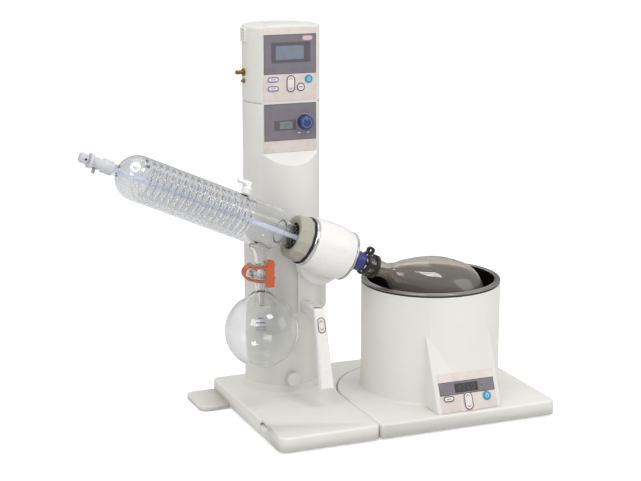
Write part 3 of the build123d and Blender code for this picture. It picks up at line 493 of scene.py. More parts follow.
class Finish:
    """One material, its patterns in the frame's own coordinates."""

    def __init__(self, name, colour, roughness, **sockets):
        self.material = bpy.data.materials.new(name)
        self.material.use_nodes = True
        self.material.diffuse_color = colour
        self.nodes = self.material.node_tree.nodes
        self.links = self.material.node_tree.links
        self.shader = self.nodes["Principled BSDF"]
        self.colour = colour
        self.place = self.nodes.new("ShaderNodeTexCoord").outputs["Object"]
        self.shader.inputs["Base Color"].default_value = colour
        self.shader.inputs["Roughness"].default_value = roughness
        for label, value in sockets.items():
            self.shader.inputs[label.replace("_", " ")].default_value = value
        self.height = None

    def noise(self, scale, detail=3.0, stretch=None):
        """Noise with its grain given per metre."""
        node = self.nodes.new("ShaderNodeTexNoise")
        node.inputs["Scale"].default_value = scale
        node.inputs["Detail"].default_value = detail
        source = self.place
        if stretch:
            mapping = self.nodes.new("ShaderNodeMapping")
            mapping.inputs["Scale"].default_value = stretch
            self.links.new(source, mapping.inputs["Vector"])
            source = mapping.outputs[0]
        self.links.new(source, node.inputs["Vector"])
        return node.outputs["Fac"]

    def graded(self, source, low, high, start=0.3, end=0.7):
        """Source stretched between two values."""
        node = self.nodes.new("ShaderNodeMapRange")
        node.inputs["From Min"].default_value = start
        node.inputs["From Max"].default_value = end
        node.inputs["To Min"].default_value = low
        node.inputs["To Max"].default_value = high
        self.links.new(source, node.inputs["Value"])
        return node.outputs["Result"]

    def tone(self, source, other, start=0.35, end=0.65):
        """Colour drifting to another one where the source is high."""
        mix = self.nodes.new("ShaderNodeMix")
        mix.data_type = "RGBA"
        colours = [s for s in mix.inputs if s.type == "RGBA"]
        colours[1].default_value = other
        before = self.shader.inputs["Base Color"]
        if before.is_linked:
            self.links.new(before.links[0].from_socket, colours[0])
        else:
            colours[0].default_value = self.colour
        self.links.new(self.graded(source, 0, 1, start, end), mix.inputs["Factor"])
        self.links.new([s for s in mix.outputs if s.type == "RGBA"][0], before)
        return self

    def rough(self, source, low, high):
        self.links.new(self.graded(source, low, high), self.shader.inputs["Roughness"])
        return self

    def bump(self, source, depth):
        """Relief of a depth in metres."""
        node = self.nodes.new("ShaderNodeBump")
        node.inputs["Distance"].default_value = depth
        node.inputs["Strength"].default_value = 1.0
        self.links.new(source, node.inputs["Height"])
        if self.height:
            self.links.new(self.height, node.inputs["Normal"])
        self.height = node.outputs["Normal"]
        self.links.new(self.height, self.shader.inputs["Normal"])
        return self


def paint(name, colour, roughness=0.38, grain=900, depth=0.00006):
    """Sprayed case paint with a fine orange-peel skin."""
    darker = tuple(c * 0.955 for c in colour[:3]) + (1,)
    finish = Finish(name, colour, roughness, Specular_IOR_Level=0.45, Coat_Weight=0.12,
                    Coat_Roughness=0.25)
    finish.tone(finish.noise(9, 4), darker)
    finish.rough(finish.noise(220, 3), roughness - 0.05, roughness + 0.08)
    finish.bump(finish.noise(grain, 2), depth)
    return finish.material


def plastic(name, colour, roughness=0.4, grain=1500, depth=0.00005, **sockets):
    """Moulded plastic with a fine spark grain."""
    darker = tuple(c * 0.9 for c in colour[:3]) + (1,)
    finish = Finish(name, colour, roughness, **sockets)
    finish.tone(finish.noise(60, 4), darker)
    finish.rough(finish.noise(400, 3), roughness - 0.06, roughness + 0.08)
    finish.bump(finish.noise(grain, 2), depth)
    return finish.material


def metal(name, colour, roughness, stretch=(1, 1, 1), grain=700, depth=0.00003):
    """Metal with drawn or turned lines where it is stretched."""
    darker = tuple(c * 0.85 for c in colour[:3]) + (1,)
    finish = Finish(name, colour, roughness, Metallic=1.0)
    finish.tone(finish.noise(40, 4), darker)
    finish.rough(finish.noise(grain, 3, stretch), roughness * 0.7, roughness * 1.3)
    finish.bump(finish.noise(grain, 3, stretch), depth)
    return finish.material


def glass(name, colour, roughness=0.0, ripple=0.00005, clear=1.0):
    """Blown laboratory glass with faint draw lines."""
    finish = Finish(name, colour, roughness, Transmission_Weight=clear, IOR=1.47)
    finish.tone(finish.noise(20, 2), tuple(c * 0.985 for c in colour[:3]) + (1,))
    finish.bump(finish.noise(45, 1), ripple)
    finish.rough(finish.noise(15, 1), roughness, roughness + 0.015)
    return finish.material


WHITE = srgb(233, 231, 225)
case_white = paint("case_white", WHITE)
column_white = paint("column_white", srgb(231, 230, 225), 0.42)
head_white = paint("head_white", srgb(240, 239, 236), 0.3)
bare_white = plastic("moulded_white", srgb(236, 235, 231), 0.35)
panel_beige = plastic("panel_beige", srgb(226, 214, 208), 0.42, 2200, 0.00003)
band_grey = plastic("band_grey", srgb(128, 121, 130), 0.4, 2200, 0.00003)
band_dark = plastic("band_dark", srgb(98, 92, 102), 0.35, 2200, 0.00002)
lcd_blue = plastic("display_blue_grey", srgb(128, 138, 150), 0.18, 1800, 0.00001)
lcd_green = plastic("display_green_grey", srgb(134, 141, 138), 0.18, 1800, 0.00001)
led_dark = plastic("display_dark", srgb(66, 64, 66), 0.15, 1800, 0.00001)
digit_ink = plastic("digit_ink", srgb(88, 94, 104), 0.3)
mark_blue = plastic("mark_blue", srgb(58, 62, 128), 0.4)
digit_dim = plastic("digit_dim", srgb(96, 98, 92), 0.3)
soft_violet = plastic("soft_violet", srgb(124, 116, 148), 0.4)
pill_blue = plastic("pill_outline", srgb(84, 90, 156), 0.35)
plum = plastic("plum_outline", srgb(84, 34, 58), 0.35)
navy = plastic("navy_outline", srgb(38, 42, 92), 0.35)
muted_red = plastic("muted_red", srgb(196, 140, 136), 0.4)
key_white = plastic("key_white", srgb(236, 230, 228), 0.32, 1800, 0.00002)
cyan = plastic("cyan_key", srgb(44, 158, 192), 0.28, 1500, 0.00002)
pale_cyan = plastic("pale_cyan", srgb(188, 226, 236), 0.3)
ink = plastic("dark_ink", srgb(58, 56, 62), 0.4)
white_ink = plastic("white_ink", srgb(232, 232, 234), 0.4)
knob_blue = plastic("knob_blue", srgb(48, 66, 122), 0.34, 1600, 0.00004)
# Lighter blue of the speed knob's top ring: a painted highlight.
knob_highlight_blue = plastic("knob_painted_highlight", srgb(112, 132, 178), 0.3, 1600, 0.00003)
knob_ring = plastic("knob_ring", srgb(150, 150, 160), 0.3)
rubber = plastic("black_rubber", srgb(28, 28, 29), 0.62, 1100, 0.00012)
black_clip = plastic("black_clip", srgb(26, 26, 29), 0.28, 900, 0.00008)
nut_beige = plastic("nut_beige", srgb(176, 173, 158), 0.42, 700, 0.00012)
indigo = plastic("bushing_indigo", srgb(62, 60, 132), 0.32)
orange = plastic("clamp_orange", srgb(198, 88, 34), 0.26, 500, 0.00008, Coat_Weight=0.4)
milky = plastic("milky_plastic", srgb(240, 242, 246), 0.34, 900, 0.00001,
                Transmission_Weight=0.35, IOR=1.45)
# Faint glow on the feed tube: painted light, standing in for the light that the glass round it
# lets through.
feed_glow_white = plastic("feed_tube_painted_glow", srgb(232, 236, 252), 0.4, 900, 0.00002,
                     Emission_Color=srgb(214, 220, 250), Emission_Strength=0.3)
chrome = metal("chrome", srgb(214, 214, 216), 0.07, depth=0.00001)
brass = metal("brass", srgb(150, 116, 58), 0.28)
turned_steel = metal("turned_steel", srgb(176, 176, 178), 0.28, (1, 1, 8))
rim_steel = metal("rim_gunmetal", srgb(150, 146, 142), 0.22, (3, 3, 3))
pot_steel = metal("pot_steel", srgb(92, 90, 86), 0.3, (1, 1, 10))
machined = metal("machined_alloy", srgb(186, 188, 190), 0.34, (6, 1, 1))
oval_pink = plastic("oval_fill", srgb(216, 196, 194), 0.4)
clear_glass = glass("clear_glass", (0.95, 0.955, 0.955, 1))
# Slightly darker than the clear glass: painted shade for the grey look of the condenser.
condenser_shaded_glass = glass("condenser_glass", (0.94, 0.945, 0.95, 1))
# Brownish tint and a tenth of diffuse skin on the flask's glass: a painted reflection.
flask_reflection_tint = glass("evaporating_glass", (0.85, 0.79, 0.70, 1), ripple=0.00002, clear=0.9)
coil_glass = glass("coil_glass", (0.95, 0.96, 0.97, 1), ripple=0.00002)


# Pieces


def settle(name, mesh, body, finish, stands_for=(), place=None, angle=35):
    """Put a mesh into the frame as a piece on a body."""
    if place is not None:
        moved(mesh, place)
    mesh.transform(Matrix.Scale(0.001, 4))
    mesh.name = name
    if finish is not None:
        mesh.materials.clear()
        mesh.materials.append(finish)
    mesh.shade_smooth()
    mesh.set_sharp_from_angle(angle=math.radians(angle))
    piece = bpy.data.objects.new(name, mesh)
    bpy.context.scene.collection.objects.link(piece)
    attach(piece, body)
    if stands_for:
        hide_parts(*stands_for)
    return piece


def painted(*parts):
    """One mesh of (mesh, finish) pairs, each keeping its own finish."""
    work = bmesh.new()
    finishes = []
    for mesh, finish in parts:
        first = len(work.faces)
        work.from_mesh(mesh)
        if finish not in finishes:
            finishes.append(finish)
        work.faces.ensure_lookup_table()
        for face in work.faces[first:]:
            face.material_index = finishes.index(finish)
    mesh = bpy.data.meshes.new("part")
    work.to_mesh(mesh)
    work.free()
    for finish in finishes:
        mesh.materials.append(finish)
    return mesh


def carried(node, finish):
    """Keep a CAD node and give it its own finish."""
    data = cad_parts[node].data
    data.materials.clear()
    data.materials.append(finish)


def refined(node, body, finish, edge=0.0):
    """Piece after a CAD node, its corners merged and its edges softened."""
    mesh = cad_copy(node)
    if edge:
        mesh = bevelled(mesh, edge, 2, 40)
    return settle(node + "_skin", mesh, body, finish, (node,))


# Base


def base_pieces():
    """Both base plates, the stabiliser, the feet and the ribbed levelling wheel."""
    refined("main_base", "stand", case_white)
    refined("bath_base", "bath", case_white)
    refined("stabiliser_foot", "stand", case_white)
    carried("main_feet", rubber)
    carried("bath_feet", rubber)
    wheel = lathe(soften([(0, 7), (20.4, 7), (21.4, 8), (21.4, 21), (20.4, 22), (0, 22)], 0.6), 96)
    ribs = ring_of(prism(pill(2.4, 2.0, 6), 7.6, 21.4), 30, 21.0, bare_white)
    stud = lathe(soften([(0, 0), (14, 0), (14, 4), (5, 4), (5, 27), (0, 27)], 0.5), 64)
    place = Matrix.Translation((-95, -200, 0))
    settle("levelling_wheel_ribbed", together(wheel, ribs, stud), "levelling_wheel", bare_white,
           ("level_wheel",), place)


# Column


def front_cutter(depth, top):
    """Space in front of the flat face, ending in a slope below."""
    reach, slope = 40.0, 41
    drop = reach * math.tan(math.radians(slope))
    low = FLAT_END + depth * math.tan(math.radians(slope / 2))
    y = FLAT_Y + depth
    side = [(y, low), (y - reach, low - drop), (y - reach, top), (y, top)]
    return bar(side, -80, 80)


def column_pieces():
    """Round tube with its flat front and the lift's slot, on its foot ring."""
    outline = [(0, COLUMN_FOOT), (COLUMN_RADIUS, COLUMN_FOOT), (COLUMN_RADIUS, SEAM), (0, SEAM)]
    outer = lathe(soften(outline, 0.7), 192)
    inner = cut(cylinder(66, 47, 562.5, 128), front_cutter(3.5, 600))
    slot = moved(bar(box_outline(17, 199, 8), 0, 90), Matrix.Translation((0, 0, 321.5)))
    shell = cut(cut(outer, front_cutter(0, 600)), inner, slot)
    settle("column_tube", bevelled(shell, 0.8, 2, 40), "stand", column_white,
           ("column_shell",), angle=40)
    ring = lathe(soften([
        (49.5, 30), (76, 30), (73.2, 31.2), (71.6, 33.4), (71, 36), (71, 47.4),
        (70.4, COLUMN_FOOT), (49.5, COLUMN_FOOT),
    ], 0.8), 160)
    settle("column_foot_ring", ring, "stand", column_white, ("column_foot",))


def controller_pieces():
    """Rounded case with wells for its keys and a grille on its side."""
    outline = [(0, SEAM), (COLUMN_RADIUS, SEAM), (COLUMN_RADIUS, TOP), (0, TOP)]
    outer = lathe(soften(outline, 5.0, 6), 192)
    body = cut(outer, front_cutter(0, 760))
    body = bevelled(body, 1.0, 2, 40)
    wells = [moved(well, FRONT) for well in key_holes(controller_keys, 0.8, -4, 1)]
    body = cut(body, *wells)
    plate = bar(box_outline(22, 25, 1.5), -72.5, -66)
    slots = [bar(shifted(box_outline(16, 2.4, 1.1), 0, row), -75, -70.5)
             for row in (-7.8, -2.6, 2.6, 7.8)]
    grille = moved(bevelled(cut(plate, *slots), 0.3, 2, 40), Matrix.Translation((0, 0, 685.5)))
    settle("controller_case", together(body, grille), "stand", case_white,
           ("vacuum_controller",), angle=40)


# Front plates


def printed(outline, low=0.0, high=SKIN, plane=FRONT):
    """Thin print, its heights counted from the front plate's face."""
    return moved(prism(outline, PLATE + low, PLATE + high), plane)


def rect(width, height, x, y, corner=0.4):
    return shifted(box_outline(width, height, corner), x, y)


def frame_line(width, height, line, x, y, high=0.4, corner=None):
    """Printed line along a rectangle or, where no corner is given, along a pill."""
    corner = min(width, height) / 2 - 1e-4 if corner is None else corner
    outer = shifted(box_outline(width, height, corner, 8), x, y)
    inner = shifted(
        box_outline(width - 2 * line, height - 2 * line, max(corner - line, 0.05), 8), x, y)
    return moved(rim(outer, inner, PLATE + SKIN, PLATE + high), FRONT)


def front_plates():
    """Beige plates of the controller and of the speed panel."""
    upper = bevelled(prism(rect(102, 130, 0, 635, 2), 0, PLATE), 0.3, 2)
    upper = cut(upper, *key_holes(controller_keys, 0.5, -1, 2))
    lower = bevelled(prism(rect(102, 86, 0, 521, 2), 0, PLATE), 0.3, 2)
    settle("controller_plate", moved(upper, FRONT), "stand", panel_beige,
           ("controller_panel",))
    settle("speed_plate", moved(lower, FRONT), "stand", panel_beige,
           ("speed_panel",))


def controller_window():
    """Grey field with the display, the oval sign and four labels."""
    signs = [(frame_line(20, 9, 0.9, 33, 680.5), muted_red),
             (printed(shifted(pill(18.2, 7.2), 33, 680.5), SKIN, 0.38), oval_pink)]
    for x in (-34, -11.5, 12, 35):
        signs.append((frame_line(19, 5.2, 0.45, x, 625.5), soft_violet))
        signs.append((printed(rect(10, 1.1, x, 625.5, 0.3), SKIN, 0.4), soft_violet))
    settle("controller_window", painted(
        (printed(rect(99, 70, 0, 653)), band_grey),
        (printed(rect(74, 36, 1.5, 656), SKIN, 0.5), band_dark),
        (printed(rect(53, 24.5, -0.6, 655.8), 0.5, 0.75), lcd_blue), *signs,
    ), "stand", None, ("front_displays",))


def speed_window():
    """Speed panel's field, display and ticks, the knob's ring, and the edges of both fields."""
    edges = [(frame_line(99, height, 0.7, 0, z, 0.3, 0.4), ink)
             for height, z in ((66, 532), (70, 653))]
    ticks = [(printed(rect(5.5, 1.5, x, 511.5, 0.3), SKIN, 0.4), white_ink) for x in (17, 34)]
    digits = [(printed(line, 0.75, 0.8), digit_ink)
              for line in digit_row("120", -15.3, 522.7, 5.4, 7.5)]
    scale = lathe(soften([(13.6, 0), (15.5, 0), (15.5, 1.9), (13.9, 1.9), (13.6, 1.5)], 0.3), 96)
    scale = moved(moved(scale, Matrix.Translation(DIAL)), FRONT)
    settle("speed_window", painted(
        (printed(rect(99, 66, 0, 532)), band_grey),
        (printed(rect(41, 18, -10, 526.4), SKIN, 0.5), band_dark),
        (printed(rect(24, 13, -8, 526.4), 0.5, 0.75), lcd_green),
        *edges, *ticks, *digits, (scale, knob_ring),
    ), "stand", None)


def segment_digit(number, height, weight=0.1):
    """Outlines of a seven-segment digit, its lower left corner at the origin."""
    shown = ("abcdef", "bc", "abged", "abgcd", "fgbc", "afgcd", "afgedc", "abc", "abcdefg",
             "abcdfg")[number]
    w, h, t = height * 0.5, height / 2, height * weight
    places = {
        "a": (w / 2, 2 * h, 0), "g": (w / 2, h, 0), "d": (w / 2, 0, 0),
        "f": (0, 1.5 * h, 1), "b": (w, 1.5 * h, 1), "e": (0, h / 2, 1), "c": (w, h / 2, 1),
    }
    outlines = []
    for letter in shown:
        x, y, upright = places[letter]
        long = (h if upright else w) - t * 1.1
        bar = [(-long / 2, 0), (-long / 2 + t / 2, -t / 2), (long / 2 - t / 2, -t / 2),
               (long / 2, 0), (long / 2 - t / 2, t / 2), (-long / 2 + t / 2, t / 2)]
        if upright:
            bar = [(-b, a) for a, b in bar]
        outlines.append(shifted(bar, x, y))
    return outlines


def chevron(size, up):
    sign = 1 if up else -1
    return stroke([(-size, -sign * size / 2), (0, sign * size / 2), (size, -sign * size / 2)], 0.9)


def key_holes(keys, gap, low, high):
    """Solids round keys, to cut what the keys stand in."""
    return [prism(shifted(pill(width + gap, height + gap), x, y), low, high)
            for x, y, width, height in keys]


def digit_row(text, x, y, pitch, height, weight=0.1):
    """Outlines of a number's digits, from its lower left corner."""
    return [shifted(line, x + pitch * place, y) for place, number in enumerate(text)
            for line in segment_digit(int(number), height, weight)]


def key_piece(name, body, node, place, key, cap_finish, line_finish, kind):
    """Domed key with its outline and sign."""
    x, y, width, height = key
    low, high = 0.3, 2.6
    count = 14
    rings = []
    for inset, level in ((0, low), (0, high - 0.75), (0.12, high - 0.4), (0.4, high - 0.12),
                         (0.8, high)):
        line = shifted(pill(width - 2 * inset, height - 2 * inset, count), x, y)
        rings.append([(a, b, level) for a, b in line])
    cap = loft(rings)
    parts = [(cap, cap_finish)]
    skin = 0.12
    if kind != "plain":
        outer = shifted(pill(width - 0.3, height - 0.3, count), x, y)
        inner = shifted(pill(width - 3.3, height - 3.3, count), x, y)
        parts.append((rim(outer, inner, high - 0.5, high + skin), line_finish))
    if kind == "arrows":
        for up in (True, False):
            sign = shifted(chevron(width * 0.22, up), x, y + (height if up else -height) * 0.29)
            parts.append((prism(sign, high - 0.05, high + skin), ink))
    elif kind in ("word", "enter"):
        share, thick = (0.42, 1.2) if kind == "word" else (0.5, 1.4)
        word = shifted(box_outline(width * share, thick, 0.3), x, y)
        parts.append((prism(word, high - 0.05, high + skin), line_finish))
    elif kind == "plain":
        outer = shifted(pill(width * 0.46, height * 0.46, count), x, y)
        inner = shifted(pill(width * 0.30, height * 0.30, count), x, y)
        parts.append((rim(outer, inner, high - 0.05, high + skin), line_finish))
        mark = shifted(box_outline(width * 0.07, height * 0.3, 0.2), x, y + height * 0.17)
        parts.append((prism(mark, high - 0.05, high + skin + 0.05), line_finish))
    mesh = moved(painted(*parts), place)
    settle(name, mesh, body, None, (node,))


def all_keys():
    """Keys of the controller, and then of the bath."""
    rows = (
        ("start_button", "start", "start_key", key_white, pill_blue, "word"),
        ("mode_button", "mode", "mode_key", key_white, pill_blue, "word"),
        ("vacuum_arrows", "vacuum_set", "vacuum_rocker", key_white, plum, "arrows"),
        ("vent_button", "vent", "vent_key", key_white, navy, "enter"),
        ("vacuum_button", "vacuum_power", "vacuum_power_key", cyan, pale_cyan, "plain"),
        ("bath_mode_button", "bath_mode", "bath_mode_key", key_white, ink, "word"),
        ("bath_arrows", "bath_set", "bath_rocker", key_white, plum, "arrows"),
        ("bath_button", "bath_power", "bath_power_key", cyan, pale_cyan, "plain"),
    )
    for row, key in zip(rows, controller_keys + bath_keys):
        name, body, node, cap_finish, line_finish, kind = row
        place = WEDGE if key in bath_keys else FRONT
        key_piece(name, body, node, place, key, cap_finish, line_finish, kind)


def knobs():
    """Speed knob with its grooved skirt and a lighter top ring painted as a highlight, and the
    knurled lock knob.
    """
    body = lathe(soften([
        (0, 0.3), (3, 0.3), (3, 2.2), (12.4, 2.2), (12.9, 4), (12.0, 14.2), (9.2, 16), (0, 15.4),
    ], 0.8), 96)
    rib = prism(pill(2.2, 1.5, 5), 3, 14)
    ribs = ring_of(rib, 24, 12.35, knob_blue)
    mark = prism(box_outline(1.2, 5, 0.3), 15.3, 15.9)
    moved(mark, Matrix.Translation((0, 6.2, 0)))
    # Top ring in the lighter blue: a painted highlight.
    top = lathe(soften([(7.6, 15.2), (9.0, 15.2), (9.0, 16.0), (7.6, 16.0)], 0.3), 96)
    place = FRONT @ Matrix.Translation(DIAL)
    settle("speed_dial", moved(painted((body, knob_blue), (ribs, knob_blue), (top, knob_highlight_blue),
                                       (mark, knob_ring)), place),
           "speed", None, ("speed_knob",))
    grip = lathe(soften([(0, -11), (12.0, -11), (12.0, 0), (4, 0), (4, 9), (0, 9)], 1.0), 96)
    rib = prism(pill(1.4, 1.3, 5), -10, -1)
    ribs = ring_of(rib, 36, 11.95, bare_white)
    turn = Matrix(((1, 0, 0, -8), (0, 0, 1, -70.5), (0, -1, 0, 61), (0, 0, 0, 1)))
    settle("lock_grip", moved(together(grip, ribs), turn), "column_lock", bare_white,
           ("lock_knob",))


def side_fittings():
    """Brass hose nipple and vent valve on the left of the controller."""
    side = Matrix(((0, 0, -1, -COLUMN_RADIUS), (0, 1, 0, 0), (1, 0, 0, 0), (0, 0, 0, 1)))
    nut = prism([(7 * math.cos(math.radians(60 * k)), 7 * math.sin(math.radians(60 * k)))
                 for k in range(6)], 0, 4)
    nut = bevelled(nut, 0.5, 2)
    nipple = lathe(soften([
        (0, -3.4), (3.9, -3.4), (3.9, 5), (3.2, 6), (4, 8), (3.2, 9.4), (4, 11.4), (3.2, 12.8),
        (3.9, 15), (3.3, 16), (1.8, 16), (1.8, 4), (0, 4),
    ], 0.25), 48)
    upper = moved(together(nut, nipple), Matrix.Translation((619, 0, 0)))
    valve = lathe(soften([(0, -3.4), (2.3, -3.4), (2.3, 0), (4.2, 0), (4.2, 2.5), (2.4, 2.6),
                          (2.4, 6), (0, 6)], 0.3), 48)
    moved(valve, Matrix.Translation((603.5, 0, 0)))
    settle("brass_nipples", moved(together(upper, valve), side), "stand", brass,
           ("brass_fittings",))


# Lift


def inner_works():
    """Metal finishes for the pieces inside the column, the head and the bath."""
    for node in ("lead_screw", "guide_rods", "lift_motor", "tilt_pin", "bearings", "drive_gear",
                 "drive_pinion", "drive_motor", "hollow_shaft", "bath_heater"):
        carried(node, turned_steel)
    for node in ("lift_nut", "screw_block"):
        carried(node, machined)


def lift_grip():
    """Saddle on the column, and the leaning grip on its arm."""
    saddle = cad_copy("saddle")
    settle("saddle_skin", bevelled(saddle, 2.2, 3, 40), "carriage", head_white,
           ("saddle",))
    rings = []
    for t, inset in ((0, 1.2), (0.008, 0.3), (0.02, 0), (1, 0)):
        grow = 1 + 0.18 * t
        line = box_outline(22 * grow - 2 * inset, 16 * grow - 2 * inset, 5, 6)
        rings.append([(HANDLE_X + x, -131 - 45 * t + y, 207 - 157 * t) for x, y in line])
    under = [(-260, 138.3), (-120, 22.0), (-120, -50), (-260, -50)]
    below = bar(under, -20, 60)
    grip = bevelled(cut(loft(rings), below), 1.2, 3, 45)
    arm = loft([[(x + HANDLE_X, y, z) for x, z in box_outline(22, 22, 4)] for y in (-130, -75)])
    arm = moved(bevelled(arm, 0.5), Matrix.Translation((0, 0, 196)))
    settle("lift_grip", together(grip, arm), "carriage", head_white,
           ("lift_handle",))


def lift_switch():
    """Arrow switch on the grip's leaning face."""
    lean = math.radians(16.478)
    face = Matrix(((1, 0, 0, HANDLE_X), (0, math.sin(lean), -math.cos(lean), -147.3),
                   (0, math.cos(lean), math.sin(lean), 179), (0, 0, 0, 1)))
    signs = [(rim(pill(14.2, 28.2), pill(11.4, 25.4), 1.3, 1.52), plum)]
    for up in (True, False):
        arrow = shifted(chevron(3.2, up), 0, 7 if up else -7)
        signs.append((prism(arrow, 1.3, 1.52), ink))
    switch = bevelled(cad_copy("lift_switch"), 0.4, 2, 40)
    signs = [(moved(mesh, face), finish) for mesh, finish in signs]
    settle("lift_switch_cap", painted((switch, key_white), *signs), "handle_switch", None,
           ("lift_switch",))


# Head


def head_casting():
    """Barrel and hub as one soft casting, cut for what sits in it."""
    profile = smooth_line([(46.5, 4), (48.0, 22), (48.6, 38), (47.8, 60), (43.5, 83)], 8)
    barrel = moved(lathe([(0, 4)] + profile + [(0, 83)], 128), HEAD)
    turn = Matrix(((1, 0, 0, 40.0), (0, 0, 1, -100.0), (0, -1, 0, 284.5), (0, 0, 0, 1)))
    hub = moved(lathe(soften([(0, 0), (46, 0), (46, 23.7), (0, 23.7)], 9, 6), 128), turn)
    body = moulded(joined(barrel, hub), 1.3, 8)
    bore = lathe([(0, 3), (24, 3), (24, 65), (19, 73), (19, 85), (0, 85)], 96)
    rooms = (cylinder(47.5, -42, 4.05), cylinder(45.3, 82.95, 112), bore)
    settle("head_casting", cut(body, *[moved(room, HEAD) for room in rooms]), "head", head_white,
           ("head_housing",), angle=50)


def head_rings():
    """Chrome flange, chrome end ring with a thin dark ring of painted shade on its face, and the
    black seals.
    """
    flange = lathe(soften([
        (16.1, -16), (37, -16), (37, -2), (42.5, -2), (44, -0.5), (44, 3.8), (40, 3.8), (40, 14),
        (24, 14), (24, 5), (16.1, 5),
    ], 0.8), 160)
    settle("chrome_flange", flange, "head", chrome, ("front_flange",), HEAD)
    ring = [(34.5, 83.05), (44.8, 83.05), (45, 84.4), (43.7, 87), (34.5, 87)]
    ring = lathe(soften(ring, 0.7), 160)
    # Thin dark ring on the end ring's face: painted shade of a recess that is not cut.
    groove_shade = lathe([(39, 86.9), (41, 86.9), (41, 87.15), (39, 87.15)], 160)
    settle("chrome_end_ring", painted((ring, chrome), (groove_shade, ink)), "head", None,
           ("end_ring",), HEAD)
    seal = lathe(soften([(17, -19.6), (31.5, -19.6), (31.5, -16), (17, -16)], 0.6), 128)
    band = lathe(soften([(37.3, -5.6), (42.0, -5.6), (42.0, -2.1), (37.3, -2.1)], 0.8), 128)
    lobes = ring_of(prism(pill(3.2, 5.4, 6), -5.5, -2.2), 36, 41.4, rubber)
    settle("scalloped_gasket", together(seal, band, lobes), "head", rubber,
           ("head_seals",), HEAD)


def rotor_pieces():
    """Ribbed bushing, and the vapour tube inside the head."""
    bushing = lathe(soften([
        (15.6, 88), (17.3, 88), (17.3, 113), (16.6, 119.5), (12.7, 119.5), (12.7, 104),
        (15.6, 104),
    ], 0.6), 96)
    ribs = ring_of(prism(pill(1.0, 1.6, 5), 89, 112), 28, 17.2, indigo)
    settle("bushing_ribbed", together(bushing, ribs), "rotor", indigo,
           ("push_bushing",), HEAD)
    tube = [(10.3, -15), (12.3, -15), (12.3, 122), (11.5, 150), (9.5, 150), (10.3, 122)]
    settle("vapour_glass", lathe(soften(tube, 0.6), 96), "rotor", clear_glass,
           ("vapour_tube",), HEAD)


def nut_pieces():
    """Twelve-sided ring nut with a round mouth."""
    sides, each = 12, 8
    count = sides * each

    def polygon(radius, z):
        ring = []
        for i in range(count):
            a = 2 * math.pi * i / count
            off = (a % (2 * math.pi / sides)) - math.pi / sides
            r = radius * math.cos(math.pi / sides) / math.cos(off)
            ring.append((r * math.cos(a), r * math.sin(a), z))
        return ring

    def circle(radius, z):
        turns = [2 * math.pi * i / count for i in range(count)]
        return [(radius * math.cos(a), radius * math.sin(a), z) for a in turns]

    rings = [polygon(41.8, -6), polygon(41.6, -7), polygon(39.0, -29.4), circle(36.9, -31),
             circle(31.4, -31), circle(30.6, -30.6), circle(25.2, -28.5), circle(25, -28.2),
             circle(25, -25.9), circle(33.5, -25.9), circle(33.5, -16.3), circle(37.1, -16.3),
             circle(37.1, -6), polygon(41.8, -6)]
    nut = bevelled(loft(rings, capped=False), 0.5, 2, 36)
    settle("ring_nut_casting", nut, "condenser_nut", nut_beige, ("ring_nut",), HEAD,
           angle=22)


def condenser_outline(inset, low, high):
    """Half section of the condenser's body, inset for its inside."""
    r, neck, tip = BODY_RADIUS - inset, 21.5 - inset, 9.5 - inset
    meet = DOME - math.sqrt(r * r - tip * tip)
    start = math.degrees(math.asin(tip / r))
    dome = arc((0, DOME), r, start - 90, 0, 24)
    walls = [(r, z) for z in (-292, -252, -212, -172, -132, -100)]
    shoulder = arc((neck, -72), r - neck, 0, 90, 10)
    return soften([(0, low), (tip, low), (tip, meet - 6)] + dome + walls + shoulder
                  + [(neck, high), (0, high)], 2.5, 4)


def condenser_piece():
    """Body with its flange, two ports, and the outlet down to the ball."""
    outer = moved(lathe(condenser_outline(0, -392, -19.6), 160), HEAD)
    inner = moved(lathe(condenser_outline(2.5, -400, -5), 160), HEAD)
    flange = soften([(20.5, -25.6), (32.5, -25.6), (32.5, -19.6), (20.5, -19.6)], 1.5)
    flange = moved(lathe(flange, 128), HEAD)
    funnel = smooth_line([(11.2, 288), (11.2, 307), (12, 314), (15, 322), (21, 331)], 6)
    outlet = lathe([(0, 288)] + funnel + [(0, 331)], 96)
    inside = lathe([(0, 270)] + [(r - GLASS_WALL, z) for r, z in funnel] + [(0, 333)], 96)
    ball = lathe([(0, 269.5), (11.7, 269.5)] + arc((0, BALL_MIDDLE), 17.5, -44, 52, 20)
                 + [(11.2, 297), (0, 297)], 96)
    ball = cut(ball, cylinder(9.0, 260, 300, 64))
    collar = lathe(soften([(9, 282.5), (21, 282.5), (21, 286.5), (9, 286.5)], 1.2), 96)
    for part in (outlet, inside, ball, collar):
        moved(part, RECEIVER)
    planes = (DOME_PORT, TOP_PORT)
    ports = [moved(cylinder(5.5, -6, 9, 64), plane) for plane in planes]
    bores = [moved(cylinder(3.5, -12, 20, 64), plane) for plane in planes]
    whole = joined(outer, flange, outlet, ball, collar, *ports)
    settle("condenser_glass", cut(whole, inner, inside, *bores), "head", condenser_shaded_glass,
           ("condenser_body",), angle=50)


def wound(turns, radius, height, tube, steps, sides, start):
    """Glass tube wound about Z, upwards from a start."""
    coil = grown(WOUND, Turns=float(turns), Radius=radius, Height=height, Tube=tube,
                 Steps=turns * steps, Sides=sides, Material=coil_glass)
    return outward(moved(coil, Matrix.Translation((0, 0, start))))


